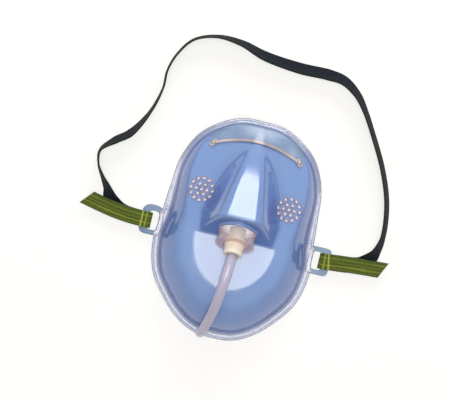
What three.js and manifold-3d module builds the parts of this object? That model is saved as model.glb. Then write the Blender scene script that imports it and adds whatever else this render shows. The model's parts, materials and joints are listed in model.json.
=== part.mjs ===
// An adult oxygen face mask of clear vinyl, lying on its flange with the open side down.
// It has an aluminium nose clip, two clusters of vent holes, a port with its adapter and
// nipple, a short length of oxygen tube and one elastic head strap.
// Millimetres. +Z is up, away from the wearer's face. +Y runs from the chin to the nose bridge.
// The origin is the middle of the flange's footprint, on the surface that the flange rests on.

import * as THREE from 'three';
import { mergeVertices } from 'three/addons/utils/BufferGeometryUtils.js';
import Module from 'manifold-3d';

const wasm = await Module();
wasm.setup();

// Clearance that touching pieces keep
const GAP = 0.3;

// Flange and outline
const MASK_LENGTH = 130.5;
const MASK_WIDTH = 94;
const FLANGE_WIDTH = 5;
const NOSE_FLANGE_WIDTH = 3.2;
const FLANGE_THICKNESS = 1.6;
const FLANGE_BEVEL = 0.45;
const NOSE_LIFT = 8; // how far the flange rises at the nose bridge
const LIFT_START = 37.25; // from the nose end of the outline, like the next size
const LIFT_END = 3.25;
// How far the outline reaches beyond an ellipse of that length and width,
// every 15 degrees from the nose bridge to the chin, alike on both sides
const OUTLINE_SHARES = [1, 1.022, 1.041, 1.066, 1.045, 0.982, 0.975, 1.038, 1.06, 1.03, 1.02, 1.014, 1];

// Dome of the body
const WALL = 1.2;
const CHIN_HEIGHT = 27; // flat front of the chin part
const CHEEK_RISE = 36; // the cheek walls would rise this far if the flat front did not cut them
const DOME_ROUNDNESS = 2.4;
const WALL_STEEPNESS = 0.6;
const CHEEK_SLOPE = 0.21; // fall of the cheeks toward the nose bridge
const CHEEK_SLOPE_START_Y = -4.4;
const FRONT_BLEND = 0.5;
const CHEEK_BLEND = 2.5;
const RIM_WALL_RISE = 70;
// The chin's flat front panel, outside which the front falls away a little
const PANEL_HALF_WIDTH = 21.5;
const PANEL_START_Y = -6;
const PANEL_DEPTH = 26;
const PANEL_FALL = 0.17;
const PANEL_EDGE = 1.4;

// Nose hump
const LEDGE_COVER = 4.2; // from the top of the adapter's lip to the crest of the nose
const BRIDGE_HEIGHT = 12;
const BRIDGE_INSET = 5.25; // from the nose end of the outline
const NOSE_BULGE = 2.5;
const SIDE_SLOPE_TIP = 2.8;
const SIDE_SLOPE_BRIDGE = 0.3;
const RIDGE_HALF_TIP = 12.5; // half the width of the flat ridge
const RIDGE_HALF_BRIDGE = 1;
const RIDGE_FLATNESS = 7; // larger gives sharper shoulders
const LEDGE_BLEND = 4;
const NOSE_FOOT_BLEND = 8;
const LEDGE_FOOT_BLEND = 2;
const FOOT_BLEND_LENGTH = 16; // over which the foot's rounding grows, from the ledge on

// Port, adapter and nipple, along one axis that points to the chin and a little up
const PORT_ELEVATION = THREE.MathUtils.degToRad(24);
const ADAPTER_DIAMETER = 22;
const ADAPTER_REACH = 9.5;
const ADAPTER_WALL = 1.2;
const ADAPTER_LIP = 1;
const ADAPTER_LIP_THICKNESS = 1.2;
const ADAPTER_TAPER = 0.2;
const ADAPTER_RING = 0.5;
const ADAPTER_RING_WIDTH = 1.2;
const PORT_SEAT = 0.9; // from the chin's flat front to the bore
const COLLAR_WALL = 1.3;
const COLLAR_REACH = 1.8;
const NIPPLE_DIAMETER = 11.4;
const NIPPLE_TAPER = 0.6; // its end is this much smaller in radius
const NIPPLE_REACH = 15.5;
const NIPPLE_INNER_END = -1;
const NIPPLE_LIP = 1.5;
const NIPPLE_LIP_THICKNESS = 1.2;
const NIPPLE_BORE = 3.2;
const NIPPLE_CHAMFER = 0.6;
const TUBE_DIAMETER = 6;
const TUBE_SOCKET_DEPTH = 7;

// Vent holes, one cluster on each cheek
const VENT_X = 26;
const VENT_Y = 18.5;
const VENT_HOLE = 1.7;
const VENT_RING_STEP = 3.2;
const VENT_RINGS = 2;

// Nose clip and its rivets
const CLIP_HALF_SPAN = 27.5;
const CLIP_INSET = 13.2; // from the nose end of the outline to the middle of the clip
const CLIP_SAG = 6.8; // how far its ends lie below its middle
const CLIP_WIDTH = 1.8;
const CLIP_EYE_RADIUS = 2; // round the rivets
const CLIP_THICKNESS = 0.7;
const CLIP_GAP = 0.45; // under the clip
const RIVET_HEAD = 2.8;
const RIVET_HEAD_HEIGHT = 0.9;
const RIVET_SHANK = 1.6;
const RIVET_TAIL_HEIGHT = 0.7;

// Strap tabs at the sides
const TAB_Y = -6.5;
const TAB_HEIGHT = 16.4;
const TAB_ARM = 2.9;
const TAB_BAR = 4.5;
const TAB_SLOT = 6.1;
const TAB_ROOT = 2;
const TAB_UNDER = 2; // space under the bar for the strap
const TAB_THICKNESS = 1.6;
const TAB_CORNER = 2.2;
const SLOT_CORNER = 0.8;
const BOSS_DIAMETER = 2.8;
const BOSS_HEIGHT = 2.6;
const BOSS_INSET = 2.6;
const BOSS_ABOVE_TAB = 1.3;

// Head strap
const STRAP_WIDTH = 9.4;
const STRAP_THICKNESS = 0.9;
const STRAP_CUT_SLANT = 0.55; // the ends are cut askew
const STRAP_STEPS = 78;
const STRAP_SLOT_X = 46.57; // the route below is drawn for slots that start this far out
// x, y from the tab line, z, then the way its width points in plan and its lean, in degrees
const STRAP_ROUTE = [
  [-90.5, 4.6, 3.6, 80, 0],
  [-81.5, 2.7, 3.9, 80, 0],
  [-72.5, 1.1, 4.1, 85, 0],
  [-64, 0.2, 4.4, 90, 0],
  [-58, 0, 4.55, 90, 0],
  [-55, 0, 4.55, 90, 0],
  [-52.3, 0, 4.2, 90, 0],
  [-50.9, 0, 2.8, 90, 0],
  [-52.2, 0, 1.5, 90, 0],
  [-55, 0, 1.15, 90, 0],
  [-62, 0.2, 1.1, 90, 0],
  [-68, 1, 1.1, 80, 0],
  [-73, 3.2, 1.3, 66, 4],
  [-76.8, 7, 2.9, 33, 25],
  [-79.6, 12, 4.5, 26, 58],
  [-84, 18, 5, 30, 76],
  [-88.3, 25, 5.1, 10, 84],
  [-89.3, 33.2, 5.1, -12, 80],
  [-82.1, 40.9, 5, -50, 62],
  [-74.5, 47, 4.9, -45, 60],
  [-66.1, 61.7, 5.1, -25, 78],
  [-62, 77.1, 5.1, -10, 84],
  [-61.9, 87.9, 5.1, 0, 84],
  [-58.6, 98.5, 5.1, -25, 82],
  [-51, 109, 5.1, -50, 80],
  [-38, 114, 5, -80, 76],
  [-23, 113.5, 4.9, -100, 64],
  [-8.5, 109.5, 4.5, -105, 50],
  [13.2, 107.3, 4.1, -92, 42],
  [31.2, 107.5, 4.1, -95, 42],
  [40.4, 106.2, 4.5, -115, 50],
  [49.9, 99.9, 4.9, -140, 60],
  [56.7, 91.4, 5, -148, 68],
  [62.6, 82, 5, -150, 70],
  [74.4, 60.7, 5, -158, 70],
  [81.5, 41.4, 5, -168, 70],
  [83.8, 22, 5, -182, 70],
  [82, 13, 4.5, -204, 56],
  [79, 7.5, 2.9, -217, 25],
  [75, 3.6, 1.3, -245, 4],
  [68, 1.8, 1.1, -262, 0],
  [61, 1, 1.1, -270, 0],
  [55, 0.5, 1.15, -270, 0],
  [52.2, 0.4, 1.5, -270, 0],
  [50.9, 0.4, 2.8, -270, 0],
  [52.3, 0.4, 4.2, -270, 0],
  [55, 0.5, 4.55, -270, 0],
  [58, 1, 4.55, -269, 0],
  [66, 1.8, 4.4, -267, 0],
  [76, 2.6, 4.1, -266, 0],
  [88.6, 3.4, 3.6, -266, 0],
];

// Oxygen tube, from inside the nipple over the chin to the lower edge of the flange
const TUBE_SIDES = 10;
const TUBE_STEPS = 14;
const TUBE_ROUTE = [
  [0, -9, 42.23],
  [0, -13.47, 44.22],
  [-0.16, -18.04, 45.94],
  [-0.44, -22.83, 46.84],
  [-0.79, -27.7, 46.88],
  [-1.18, -32.5, 46.06],
  [-1.6, -37.08, 44.4],
  [-2.06, -41.29, 41.97],
  [-2.55, -45.01, 38.84],
  [-3.06, -48.11, 35.1],
  [-3.59, -50.6, 30.93],
  [-4.15, -52.99, 26.7],
  [-4.72, -55.38, 22.47],
  [-5.32, -57.77, 18.24],
  [-5.93, -60.13, 14],
  [-6.56, -62.05, 9.55],
  [-7.2, -63.43, 4.9],
];

// Fineness
const SECTORS = 72;
const RINGS = 20;
const FIRST_RING = 2;
const CLIP_COLUMNS = 40;
const PORT_SIDES = 40;
const NIPPLE_SIDES = 24;
const RIVET_SIDES = 14;
const VENT_SIDES = 6;
const SMALL_SIDES = 12;
const HEAD_STEPS = 3;
const SLOPE_STEP = 0.05;
const DRILL_REACH = 3.6; // drills go this far to each side of the face that they pierce

// Values that follow from the sizes
const UP = new THREE.Vector3(0, 0, 1);
const boreRadius = ADAPTER_DIAMETER / 2 + GAP;
const portAxis = new THREE.Vector3(0, -Math.cos(PORT_ELEVATION), Math.sin(PORT_ELEVATION));
const portZ = CHIN_HEIGHT + PORT_SEAT + boreRadius * Math.cos(PORT_ELEVATION);
const portFace = new THREE.Vector3(0, 0, portZ);
const lipRadius = ADAPTER_DIAMETER / 2 + ADAPTER_LIP;
const noseHeight = portZ + lipRadius * Math.cos(PORT_ELEVATION) + LEDGE_COVER;
const ledgeSlope = 1 / Math.tan(PORT_ELEVATION);
const ledgeY = (noseHeight - portZ) / ledgeSlope;
const ledgeFootY = (CHIN_HEIGHT - portZ) / ledgeSlope;
const bridgeY = MASK_LENGTH / 2 - BRIDGE_INSET;
const clipY = MASK_LENGTH / 2 - CLIP_INSET;

function smoothMin(a, b, blend) {
  if (blend <= 0) return Math.min(a, b);
  const h = Math.max(blend - Math.abs(a - b), 0) / blend;
  return Math.min(a, b) - h * h * blend / 4;
}

function smoothMax(a, b, blend) {
  return -smoothMin(-a, -b, blend);
}

// Plan distance from the middle to the flange's outer edge, toward (x, y)
function outerReach(x, y) {
  if (x === 0 && y === 0) return MASK_LENGTH / 2;
  const across = Math.abs(x) / (MASK_WIDTH / 2);
  const along = y / (MASK_LENGTH / 2);
  const last = OUTLINE_SHARES.length - 1;
  const place = Math.atan2(across, along) / Math.PI * last;
  const i = Math.min(Math.floor(place), last - 1);
  const shareAt = (n) => OUTLINE_SHARES[last - Math.abs(last - Math.abs(n))];
  const [p, q, r, s] = [i - 1, i, i + 1, i + 2].map(shareAt);
  const t = place - i;
  const share = 0.5 * (2 * q + (r - p) * t + (2 * p - 5 * q + 4 * r - s) * t * t
    + (3 * q - p - 3 * r + s) * t * t * t);
  return share * Math.hypot(x, y) / Math.hypot(across, along);
}

// Flange width at a share of the way from the middle (0) to the nose bridge (1)
function flangeWidth(share) {
  return THREE.MathUtils.lerp(FLANGE_WIDTH, NOSE_FLANGE_WIDTH, THREE.MathUtils.smoothstep(share, 0, 1));
}

// Plan distance from the middle to the flange's inner edge, toward (x, y)
function innerReach(x, y) {
  return outerReach(x, y) - flangeWidth(y / (Math.hypot(x, y) || 1));
}

// Height of the flange's underside
function flangeBottom(y) {
  const end = MASK_LENGTH / 2;
  return NOSE_LIFT * THREE.MathUtils.smoothstep(y, end - LIFT_START, end - LIFT_END);
}

// The nose hump: a roof with a flat ridge, cut off by the ledge that holds the port
function noseTop(x, y) {
  const t = (y - ledgeY) / (bridgeY - ledgeY);
  const along = THREE.MathUtils.clamp(t, 0, 1);
  const ridge = THREE.MathUtils.lerp(noseHeight, BRIDGE_HEIGHT, Math.max(t, 0))
    + NOSE_BULGE * Math.sin(Math.PI * along);
  const half = THREE.MathUtils.lerp(RIDGE_HALF_TIP, RIDGE_HALF_BRIDGE, along);
  const fall = THREE.MathUtils.lerp(SIDE_SLOPE_TIP, SIDE_SLOPE_BRIDGE, along);
  const rounded = (Math.abs(x) ** RIDGE_FLATNESS + half ** RIDGE_FLATNESS) ** (1 / RIDGE_FLATNESS);
  const roof = ridge - fall * (rounded - half);
  return smoothMin(roof, portZ + y * ledgeSlope, LEDGE_BLEND);
}

// How far the chin's front falls away outside its flat panel
function panelDrop(x, y) {
  const below = Math.min(y - PANEL_START_Y, 0) / PANEL_DEPTH;
  const beyond = Math.max(Math.hypot(x / PANEL_HALF_WIDTH, below) - 1, 0) * PANEL_HALF_WIDTH;
  return PANEL_FALL * (Math.hypot(beyond, PANEL_EDGE) - PANEL_EDGE);
}

// Height of the shell's outer face above a plan point inside the flange
function shellTop(x, y) {
  const s = Math.min(Math.hypot(x, y) / innerReach(x, y), 1);
  const foot = flangeBottom(y) + FLANGE_THICKNESS;
  const round = (1 - s ** DOME_ROUNDNESS) ** WALL_STEEPNESS;
  const slope = CHIN_HEIGHT - CHEEK_SLOPE * (y - CHEEK_SLOPE_START_Y);
  const front = smoothMin(CHIN_HEIGHT, slope, FRONT_BLEND) - panelDrop(x, y);
  const cheeks = smoothMin(foot + CHEEK_RISE * round, front, CHEEK_BLEND * round);
  const past = THREE.MathUtils.smoothstep(y, ledgeFootY, ledgeFootY + FOOT_BLEND_LENGTH);
  const footBlend = THREE.MathUtils.lerp(LEDGE_FOOT_BLEND, NOSE_FOOT_BLEND, past);
  const body = smoothMax(cheeks, noseTop(x, y), footBlend);
  return Math.min(body, foot + RIM_WALL_RISE * round);
}

// Direction that the shell's outer face points in at a plan point
function shellNormal(x, y) {
  const dx = shellTop(x + SLOPE_STEP, y) - shellTop(x - SLOPE_STEP, y);
  const dy = shellTop(x, y + SLOPE_STEP) - shellTop(x, y - SLOPE_STEP);
  return new THREE.Vector3(-dx, -dy, 2 * SLOPE_STEP).normalize();
}

// A point at a distance out from the shell's outer face
function besideShell(x, y, distance) {
  return new THREE.Vector3(x, y, shellTop(x, y)).addScaledVector(shellNormal(x, y), distance);
}

function solidFrom(geometry) {
  const bare = geometry.index ? geometry.toNonIndexed() : geometry.clone();
  bare.deleteAttribute('normal');
  bare.deleteAttribute('uv');
  const merged = mergeVertices(bare, 1e-4);
  const mesh = new wasm.Mesh({
    numProp: 3,
    vertProperties: Float32Array.from(merged.attributes.position.array),
    triVerts: Uint32Array.from(merged.index.array),
  });
  return new wasm.Manifold(mesh);
}

function geometryFrom(solid) {
  const mesh = solid.getMesh();
  const geometry = new THREE.BufferGeometry();
  geometry.setAttribute('position', new THREE.BufferAttribute(Float32Array.from(mesh.vertProperties), 3));
  geometry.setIndex(new THREE.BufferAttribute(Uint32Array.from(mesh.triVerts), 1));
  geometry.computeVertexNormals();
  return geometry;
}

// Turns +Y of a geometry to a direction and moves its origin to a point
function placeAlong(geometry, direction, point) {
  const turn = new THREE.Quaternion().setFromUnitVectors(new THREE.Vector3(0, 1, 0), direction);
  geometry.applyQuaternion(turn);
  geometry.translate(point.x, point.y, point.z);
  return geometry;
}

// A rod of a radius between two heights along a direction through a point
function rod(radius, from, to, sides, direction, point) {
  const geometry = new THREE.CylinderGeometry(radius, radius, to - from, sides);
  geometry.translate(0, (from + to) / 2, 0);
  return placeAlong(geometry, direction, point);
}

// A body turned about a direction through a point, from [radius, height] pairs
function turned(profile, sides, direction, point) {
  const points = profile.map(([radius, height]) => new THREE.Vector2(radius, height));
  const geometry = new THREE.LatheGeometry([...points, points[0].clone()], sides);
  return placeAlong(geometry, direction, point);
}

// Closed skin through rings of points, with a single point at each end
function skinOf(first, rings, last) {
  const points = [first, ...rings.flat(), last];
  const faces = [];
  const start = (k) => 1 + k * SECTORS;
  for (let i = 0; i < SECTORS; i += 1) {
    const j = (i + 1) % SECTORS;
    faces.push(0, start(0) + i, start(0) + j);
    for (let k = 0; k < rings.length - 1; k += 1) {
      const [a, b, c, d] = [start(k) + i, start(k) + j, start(k + 1) + i, start(k + 1) + j];
      faces.push(a, c, b, b, c, d);
    }
    faces.push(points.length - 1, start(rings.length - 1) + j, start(rings.length - 1) + i);
  }
  const geometry = new THREE.BufferGeometry().setFromPoints(points);
  geometry.setIndex(faces);
  return geometry;
}

// The moulded body: its outer face, the flange and the inner face, as rings about the port
function moulding() {
  const shares = [];
  for (let k = FIRST_RING; k < RINGS; k += 1) shares.push((1 - Math.cos(Math.PI * k / RINGS)) / 2);
  const ringOf = (place) => Array.from({ length: SECTORS }, (_, i) => {
    const angle = 2 * Math.PI * i / SECTORS;
    const x = -Math.sin(angle) * MASK_WIDTH / 2;
    const y = Math.cos(angle) * MASK_LENGTH / 2;
    const length = Math.hypot(x, y);
    return place(x / length, y / length);
  });
  const dome = (share, depth) => ringOf((x, y) => {
    const reach = share * innerReach(x, y);
    return besideShell(x * reach, y * reach, -depth);
  });
  const flange = (widths, inset, height) => ringOf((x, y) => {
    const reach = outerReach(x, y) - widths * flangeWidth(y) - inset;
    return new THREE.Vector3(x * reach, y * reach, flangeBottom(y * reach) + height);
  });
  const rings = [
    ...shares.map((share) => dome(share, 0)),
    flange(1, 0, FLANGE_THICKNESS),
    flange(0, FLANGE_BEVEL, FLANGE_THICKNESS),
    flange(0, 0, FLANGE_THICKNESS - FLANGE_BEVEL),
    flange(0, 0, FLANGE_BEVEL),
    flange(0, FLANGE_BEVEL, 0),
    flange(1, WALL, 0),
    ...shares.toReversed().map((share) => dome(share, WALL)),
  ];
  return skinOf(besideShell(0, 0, 0), rings, besideShell(0, 0, -WALL));
}

// Plan distance from the middle line to the flange's outer edge at a height y
function edgeAt(y) {
  let x = MASK_WIDTH / 2;
  for (let i = 0; i < 12; i += 1) x = Math.sqrt(outerReach(x, y) ** 2 - y ** 2);
  return x;
}

const slotInner = edgeAt(TAB_Y);
const barInner = slotInner + TAB_SLOT;
const barOuter = barInner + TAB_BAR;

function roundedRectangle(path, x0, y0, x1, y1, radius) {
  path.moveTo(x0 + radius, y0);
  path.lineTo(x1 - radius, y0);
  path.absarc(x1 - radius, y0 + radius, radius, -Math.PI / 2, 0);
  path.lineTo(x1, y1 - radius);
  path.absarc(x1 - radius, y1 - radius, radius, 0, Math.PI / 2);
  path.lineTo(x0 + radius, y1);
  path.absarc(x0 + radius, y1 - radius, radius, Math.PI / 2, Math.PI);
  path.lineTo(x0, y0 + radius);
  path.absarc(x0 + radius, y0 + radius, radius, Math.PI, Math.PI * 1.5);
  return path;
}

// One side tab: a slotted plate, the post that joins it to the flange, and a small boss
function tabSolid(side) {
  const half = TAB_HEIGHT / 2;
  const root = slotInner - TAB_ROOT;
  const plate = roundedRectangle(new THREE.Shape(), root - TAB_CORNER, -half, barOuter, half, TAB_CORNER);
  const slotHalf = half - TAB_ARM;
  const slot = roundedRectangle(new THREE.Path(), slotInner, -slotHalf, barInner, slotHalf, SLOT_CORNER);
  plate.holes.push(slot);
  const options = { depth: TAB_THICKNESS, bevelEnabled: false, curveSegments: 4 };
  const frame = new THREE.ExtrudeGeometry(plate, options);
  frame.translate(0, TAB_Y, TAB_UNDER);
  const postHeight = TAB_UNDER + TAB_THICKNESS;
  const post = new THREE.BoxGeometry(TAB_ROOT, TAB_HEIGHT, postHeight);
  post.translate(root + TAB_ROOT / 2, TAB_Y, postHeight / 2);
  const bossY = TAB_Y + half + BOSS_ABOVE_TAB;
  const bossPlace = new THREE.Vector3(edgeAt(bossY) - BOSS_INSET, bossY, 0);
  const bossFoot = FLANGE_THICKNESS / 2;
  const boss = rod(BOSS_DIAMETER / 2, bossFoot, BOSS_HEIGHT, SMALL_SIDES, UP, bossPlace);
  const right = solidFrom(frame).add(solidFrom(post)).add(solidFrom(boss));
  return side > 0 ? right : right.mirror([1, 0, 0]);
}

// The plan points of one vent cluster: a middle hole and rings of six, twelve and so on
function ventPlaces() {
  const places = [[0, 0]];
  for (let ring = 1; ring <= VENT_RINGS; ring += 1) {
    for (let i = 0; i < 6 * ring; i += 1) {
      const angle = Math.PI * 2 * i / (6 * ring);
      places.push([ring * VENT_RING_STEP * Math.cos(angle), ring * VENT_RING_STEP * Math.sin(angle)]);
    }
  }
  return places;
}

function ventDrills(side) {
  const normal = shellNormal(side * VENT_X, VENT_Y);
  const drills = ventPlaces().map(([x, y]) => {
    const place = besideShell(side * (VENT_X + x), VENT_Y + y, 0);
    return solidFrom(rod(VENT_HOLE / 2, -DRILL_REACH, DRILL_REACH, VENT_SIDES, normal, place));
  });
  return drills.reduce((all, drill) => all.add(drill));
}

// Plan place of the clip's middle line at a distance x from the mask's middle
function clipLineY(x) {
  return clipY - CLIP_SAG * (x / CLIP_HALF_SPAN) ** 2;
}

const rivetX = CLIP_HALF_SPAN - CLIP_EYE_RADIUS;

function rivetDrill(side, radius) {
  const x = side * rivetX;
  const y = clipLineY(x);
  const normal = shellNormal(x, y);
  return solidFrom(rod(radius, -DRILL_REACH, DRILL_REACH, SMALL_SIDES, normal, besideShell(x, y, 0)));
}

function maskShell() {
  const collarRadius = boreRadius + COLLAR_WALL;
  let body = solidFrom(moulding());
  const portRod = (radius, from, to) => solidFrom(rod(radius, from, to, PORT_SIDES, portAxis, portFace));
  const seatEnd = -WALL - ADAPTER_LIP_THICKNESS - 2 * GAP;
  body = body.add(portRod(collarRadius, -WALL, COLLAR_REACH));
  body = body.subtract(portRod(boreRadius, seatEnd, COLLAR_REACH + DRILL_REACH));
  body = body.subtract(portRod(lipRadius + GAP, seatEnd, -WALL));
  for (const side of [-1, 1]) {
    body = body.add(tabSolid(side));
    body = body.subtract(ventDrills(side));
    body = body.subtract(rivetDrill(side, RIVET_SHANK / 2 + GAP));
  }
  return geometryFrom(body);
}

// The clip: a narrow strip bent over the nose bridge, with an eye round each rivet
function noseClip() {
  const low = CLIP_GAP;
  const high = CLIP_GAP + CLIP_THICKNESS;
  const points = [];
  for (let i = 0; i <= CLIP_COLUMNS; i += 1) {
    const x = CLIP_HALF_SPAN * (2 * i / CLIP_COLUMNS - 1);
    const fromRivet = Math.min(Math.abs(Math.abs(x) - rivetX), CLIP_EYE_RADIUS);
    const reach = Math.max(Math.sqrt(CLIP_EYE_RADIUS ** 2 - fromRivet ** 2), CLIP_WIDTH / 2);
    const y = clipLineY(x);
    points.push(besideShell(x, y - reach, low), besideShell(x, y + reach, low));
    points.push(besideShell(x, y + reach, high), besideShell(x, y - reach, high));
  }
  const faces = [0, 2, 1, 0, 3, 2];
  for (let i = 0; i < CLIP_COLUMNS; i += 1) {
    for (let k = 0; k < 4; k += 1) {
      const [a, b] = [4 * i + k, 4 * i + (k + 1) % 4];
      faces.push(a, b, a + 4, b, b + 4, a + 4);
    }
  }
  const end = 4 * CLIP_COLUMNS;
  faces.push(end, end + 1, end + 2, end, end + 2, end + 3);
  const geometry = new THREE.BufferGeometry().setFromPoints(points);
  geometry.setIndex(faces);
  let strip = solidFrom(geometry);
  for (const side of [-1, 1]) strip = strip.subtract(rivetDrill(side, RIVET_SHANK / 2 + GAP));
  return geometryFrom(strip);
}

// A rivet through the clip and the shell, with a domed head outside and a flat tail inside
function rivet(side) {
  const x = side * rivetX;
  const y = clipLineY(x);
  const seat = CLIP_GAP + CLIP_THICKNESS + GAP;
  const head = RIVET_HEAD / 2;
  const shank = RIVET_SHANK / 2;
  const tail = -WALL - GAP;
  const profile = [
    [0, tail - RIVET_TAIL_HEIGHT],
    [head, tail - RIVET_TAIL_HEIGHT],
    [head, tail],
    [shank, tail],
    [shank, seat],
  ];
  for (let i = 0; i < HEAD_STEPS; i += 1) {
    const angle = Math.PI / 2 * i / HEAD_STEPS;
    profile.push([head * Math.cos(angle), seat + RIVET_HEAD_HEIGHT * Math.sin(angle)]);
  }
  profile.push([0, seat + RIVET_HEAD_HEIGHT]);
  return turned(profile, RIVET_SIDES, shellNormal(x, y), besideShell(x, y, 0));
}

// The adapter: a short wide tube with a lip inside the mask and an end wall that holds the nipple
function portAdapter() {
  const outer = ADAPTER_DIAMETER / 2;
  const lipTop = -WALL - GAP;
  const lipBottom = lipTop - ADAPTER_LIP_THICKNESS;
  const hole = NIPPLE_DIAMETER / 2 + GAP;
  const profile = [
    [outer - ADAPTER_WALL, lipBottom],
    [lipRadius, lipBottom],
    [lipRadius, lipTop],
    [outer, lipTop],
    [outer - ADAPTER_TAPER, ADAPTER_REACH - ADAPTER_RING_WIDTH],
    [outer - ADAPTER_TAPER + ADAPTER_RING, ADAPTER_REACH - ADAPTER_RING_WIDTH],
    [outer - ADAPTER_TAPER + ADAPTER_RING, ADAPTER_REACH],
    [hole, ADAPTER_REACH],
    [hole, ADAPTER_REACH - ADAPTER_WALL],
    [outer - ADAPTER_WALL - ADAPTER_TAPER, ADAPTER_REACH - ADAPTER_WALL],
  ];
  return turned(profile, PORT_SIDES, portAxis, portFace);
}

// The nipple: a stepped hollow stem that the tube pushes into
function tubeNipple() {
  const outer = NIPPLE_DIAMETER / 2;
  const bore = NIPPLE_BORE / 2;
  const socket = TUBE_DIAMETER / 2 + GAP;
  const lipTop = ADAPTER_REACH - ADAPTER_WALL - GAP;
  const lipBottom = lipTop - NIPPLE_LIP_THICKNESS;
  const profile = [
    [bore, NIPPLE_INNER_END],
    [outer, NIPPLE_INNER_END],
    [outer, lipBottom],
    [outer + NIPPLE_LIP, lipBottom],
    [outer + NIPPLE_LIP, lipTop],
    [outer, lipTop],
    [outer, ADAPTER_REACH + GAP],
    [outer - NIPPLE_TAPER, NIPPLE_REACH - NIPPLE_CHAMFER],
    [outer - NIPPLE_TAPER - NIPPLE_CHAMFER, NIPPLE_REACH],
    [socket, NIPPLE_REACH],
    [socket, NIPPLE_REACH - TUBE_SOCKET_DEPTH],
    [bore, NIPPLE_REACH - TUBE_SOCKET_DEPTH],
  ];
  return turned(profile, NIPPLE_SIDES, portAxis, portFace);
}

function oxygenTube() {
  const points = TUBE_ROUTE.map(([x, y, z]) => new THREE.Vector3(x, y, z));
  const section = new THREE.Shape();
  for (let i = 0; i < TUBE_SIDES; i += 1) {
    const angle = 2 * Math.PI * i / TUBE_SIDES;
    const [x, y] = [TUBE_DIAMETER / 2 * Math.cos(angle), TUBE_DIAMETER / 2 * Math.sin(angle)];
    if (i === 0) section.moveTo(x, y);
    else section.lineTo(x, y);
  }
  const extrudePath = new THREE.CatmullRomCurve3(points);
  return new THREE.ExtrudeGeometry(section, { steps: TUBE_STEPS, extrudePath });
}

// Where a share of the strap's route lies, with its width and thickness directions there
function strapFrame(route, curve, share) {
  const centre = curve.getPoint(share);
  const ahead = curve.getTangent(share);
  const place = share * (route.length - 1);
  const i = Math.min(Math.floor(place), route.length - 2);
  const turn = THREE.MathUtils.lerp(route[i][3], route[i + 1][3], place - i);
  const lean = THREE.MathUtils.lerp(route[i][4], route[i + 1][4], place - i);
  const [a, b] = [THREE.MathUtils.degToRad(turn), THREE.MathUtils.degToRad(lean)];
  const width = new THREE.Vector3(Math.cos(a) * Math.cos(b), Math.sin(a) * Math.cos(b), Math.sin(b));
  width.addScaledVector(ahead, -width.dot(ahead)).normalize();
  const face = new THREE.Vector3().crossVectors(ahead, width);
  return { centre, ahead, width, face };
}

// One flat elastic, drawn as a straight bar and then bent along its route
function headStrap() {
  const [w, t] = [STRAP_WIDTH / 2, STRAP_THICKNESS / 2];
  const section = new THREE.Shape();
  section.moveTo(-w, -t / 2);
  section.lineTo(-w + t, -t);
  section.lineTo(w - t, -t);
  section.lineTo(w, -t / 2);
  section.lineTo(w, t / 2);
  section.lineTo(w - t, t);
  section.lineTo(-w + t, t);
  section.lineTo(-w, t / 2);
  const bar = new THREE.ExtrudeGeometry(section, { depth: 1, steps: STRAP_STEPS, bevelEnabled: false });
  const spread = slotInner / STRAP_SLOT_X;
  const route = STRAP_ROUTE.map(([x, y, z]) => new THREE.Vector3(x * spread, y + TAB_Y, z));
  const curve = new THREE.CatmullRomCurve3(route);
  const spots = bar.attributes.position;
  for (let i = 0; i < spots.count; i += 1) {
    const share = THREE.MathUtils.clamp(spots.getZ(i), 0, 1);
    const { centre, ahead, width, face } = strapFrame(STRAP_ROUTE, curve, share);
    const atEnd = share < 1e-6 || share > 1 - 1e-6;
    centre.addScaledVector(width, spots.getX(i));
    centre.addScaledVector(face, spots.getY(i));
    if (atEnd) centre.addScaledVector(ahead, STRAP_CUT_SLANT * spots.getX(i));
    spots.setXYZ(i, centre.x, centre.y, centre.z);
  }
  bar.computeVertexNormals();
  return bar;
}

// Colours and finishes
function vinyl() {
  return new THREE.MeshStandardMaterial({
    color: 0x8fb4e0, roughness: 0.12, metalness: 0, transparent: true, opacity: 0.55,
  });
}

function plastic(color, roughness, opacity) {
  return new THREE.MeshStandardMaterial({
    color, roughness, metalness: 0, transparent: opacity < 1, opacity,
  });
}

function metal() {
  return new THREE.MeshStandardMaterial({ color: 0xc8ccd2, roughness: 0.3, metalness: 1 });
}

function elastic() {
  return new THREE.MeshStandardMaterial({ color: 0x556b2f, roughness: 0.85, metalness: 0 });
}

const mask = new THREE.Group();

function add(name, geometry, material) {
  const mesh = new THREE.Mesh(geometry, material);
  mesh.name = name;
  mask.add(mesh);
}

add('mask_shell', maskShell(), vinyl());
add('nose_clip', noseClip(), metal());
add('rivet_left', rivet(-1), metal());
add('rivet_right', rivet(1), metal());
add('port_adapter', portAdapter(), plastic(0xe8ddd8, 0.15, 0.6));
add('tube_nipple', tubeNipple(), plastic(0xf3e6c8, 0.3, 1));
add('oxygen_tube', oxygenTube(), plastic(0xe6e0e8, 0.12, 0.6));
add('head_strap', headStrap(), elastic());

export default mask;
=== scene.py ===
import json
import math

import bmesh
import bpy
import numpy as np
from mathutils import Matrix, Vector
from mathutils.bvhtree import BVHTree
from mathutils.interpolate import poly_3d_calc

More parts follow.
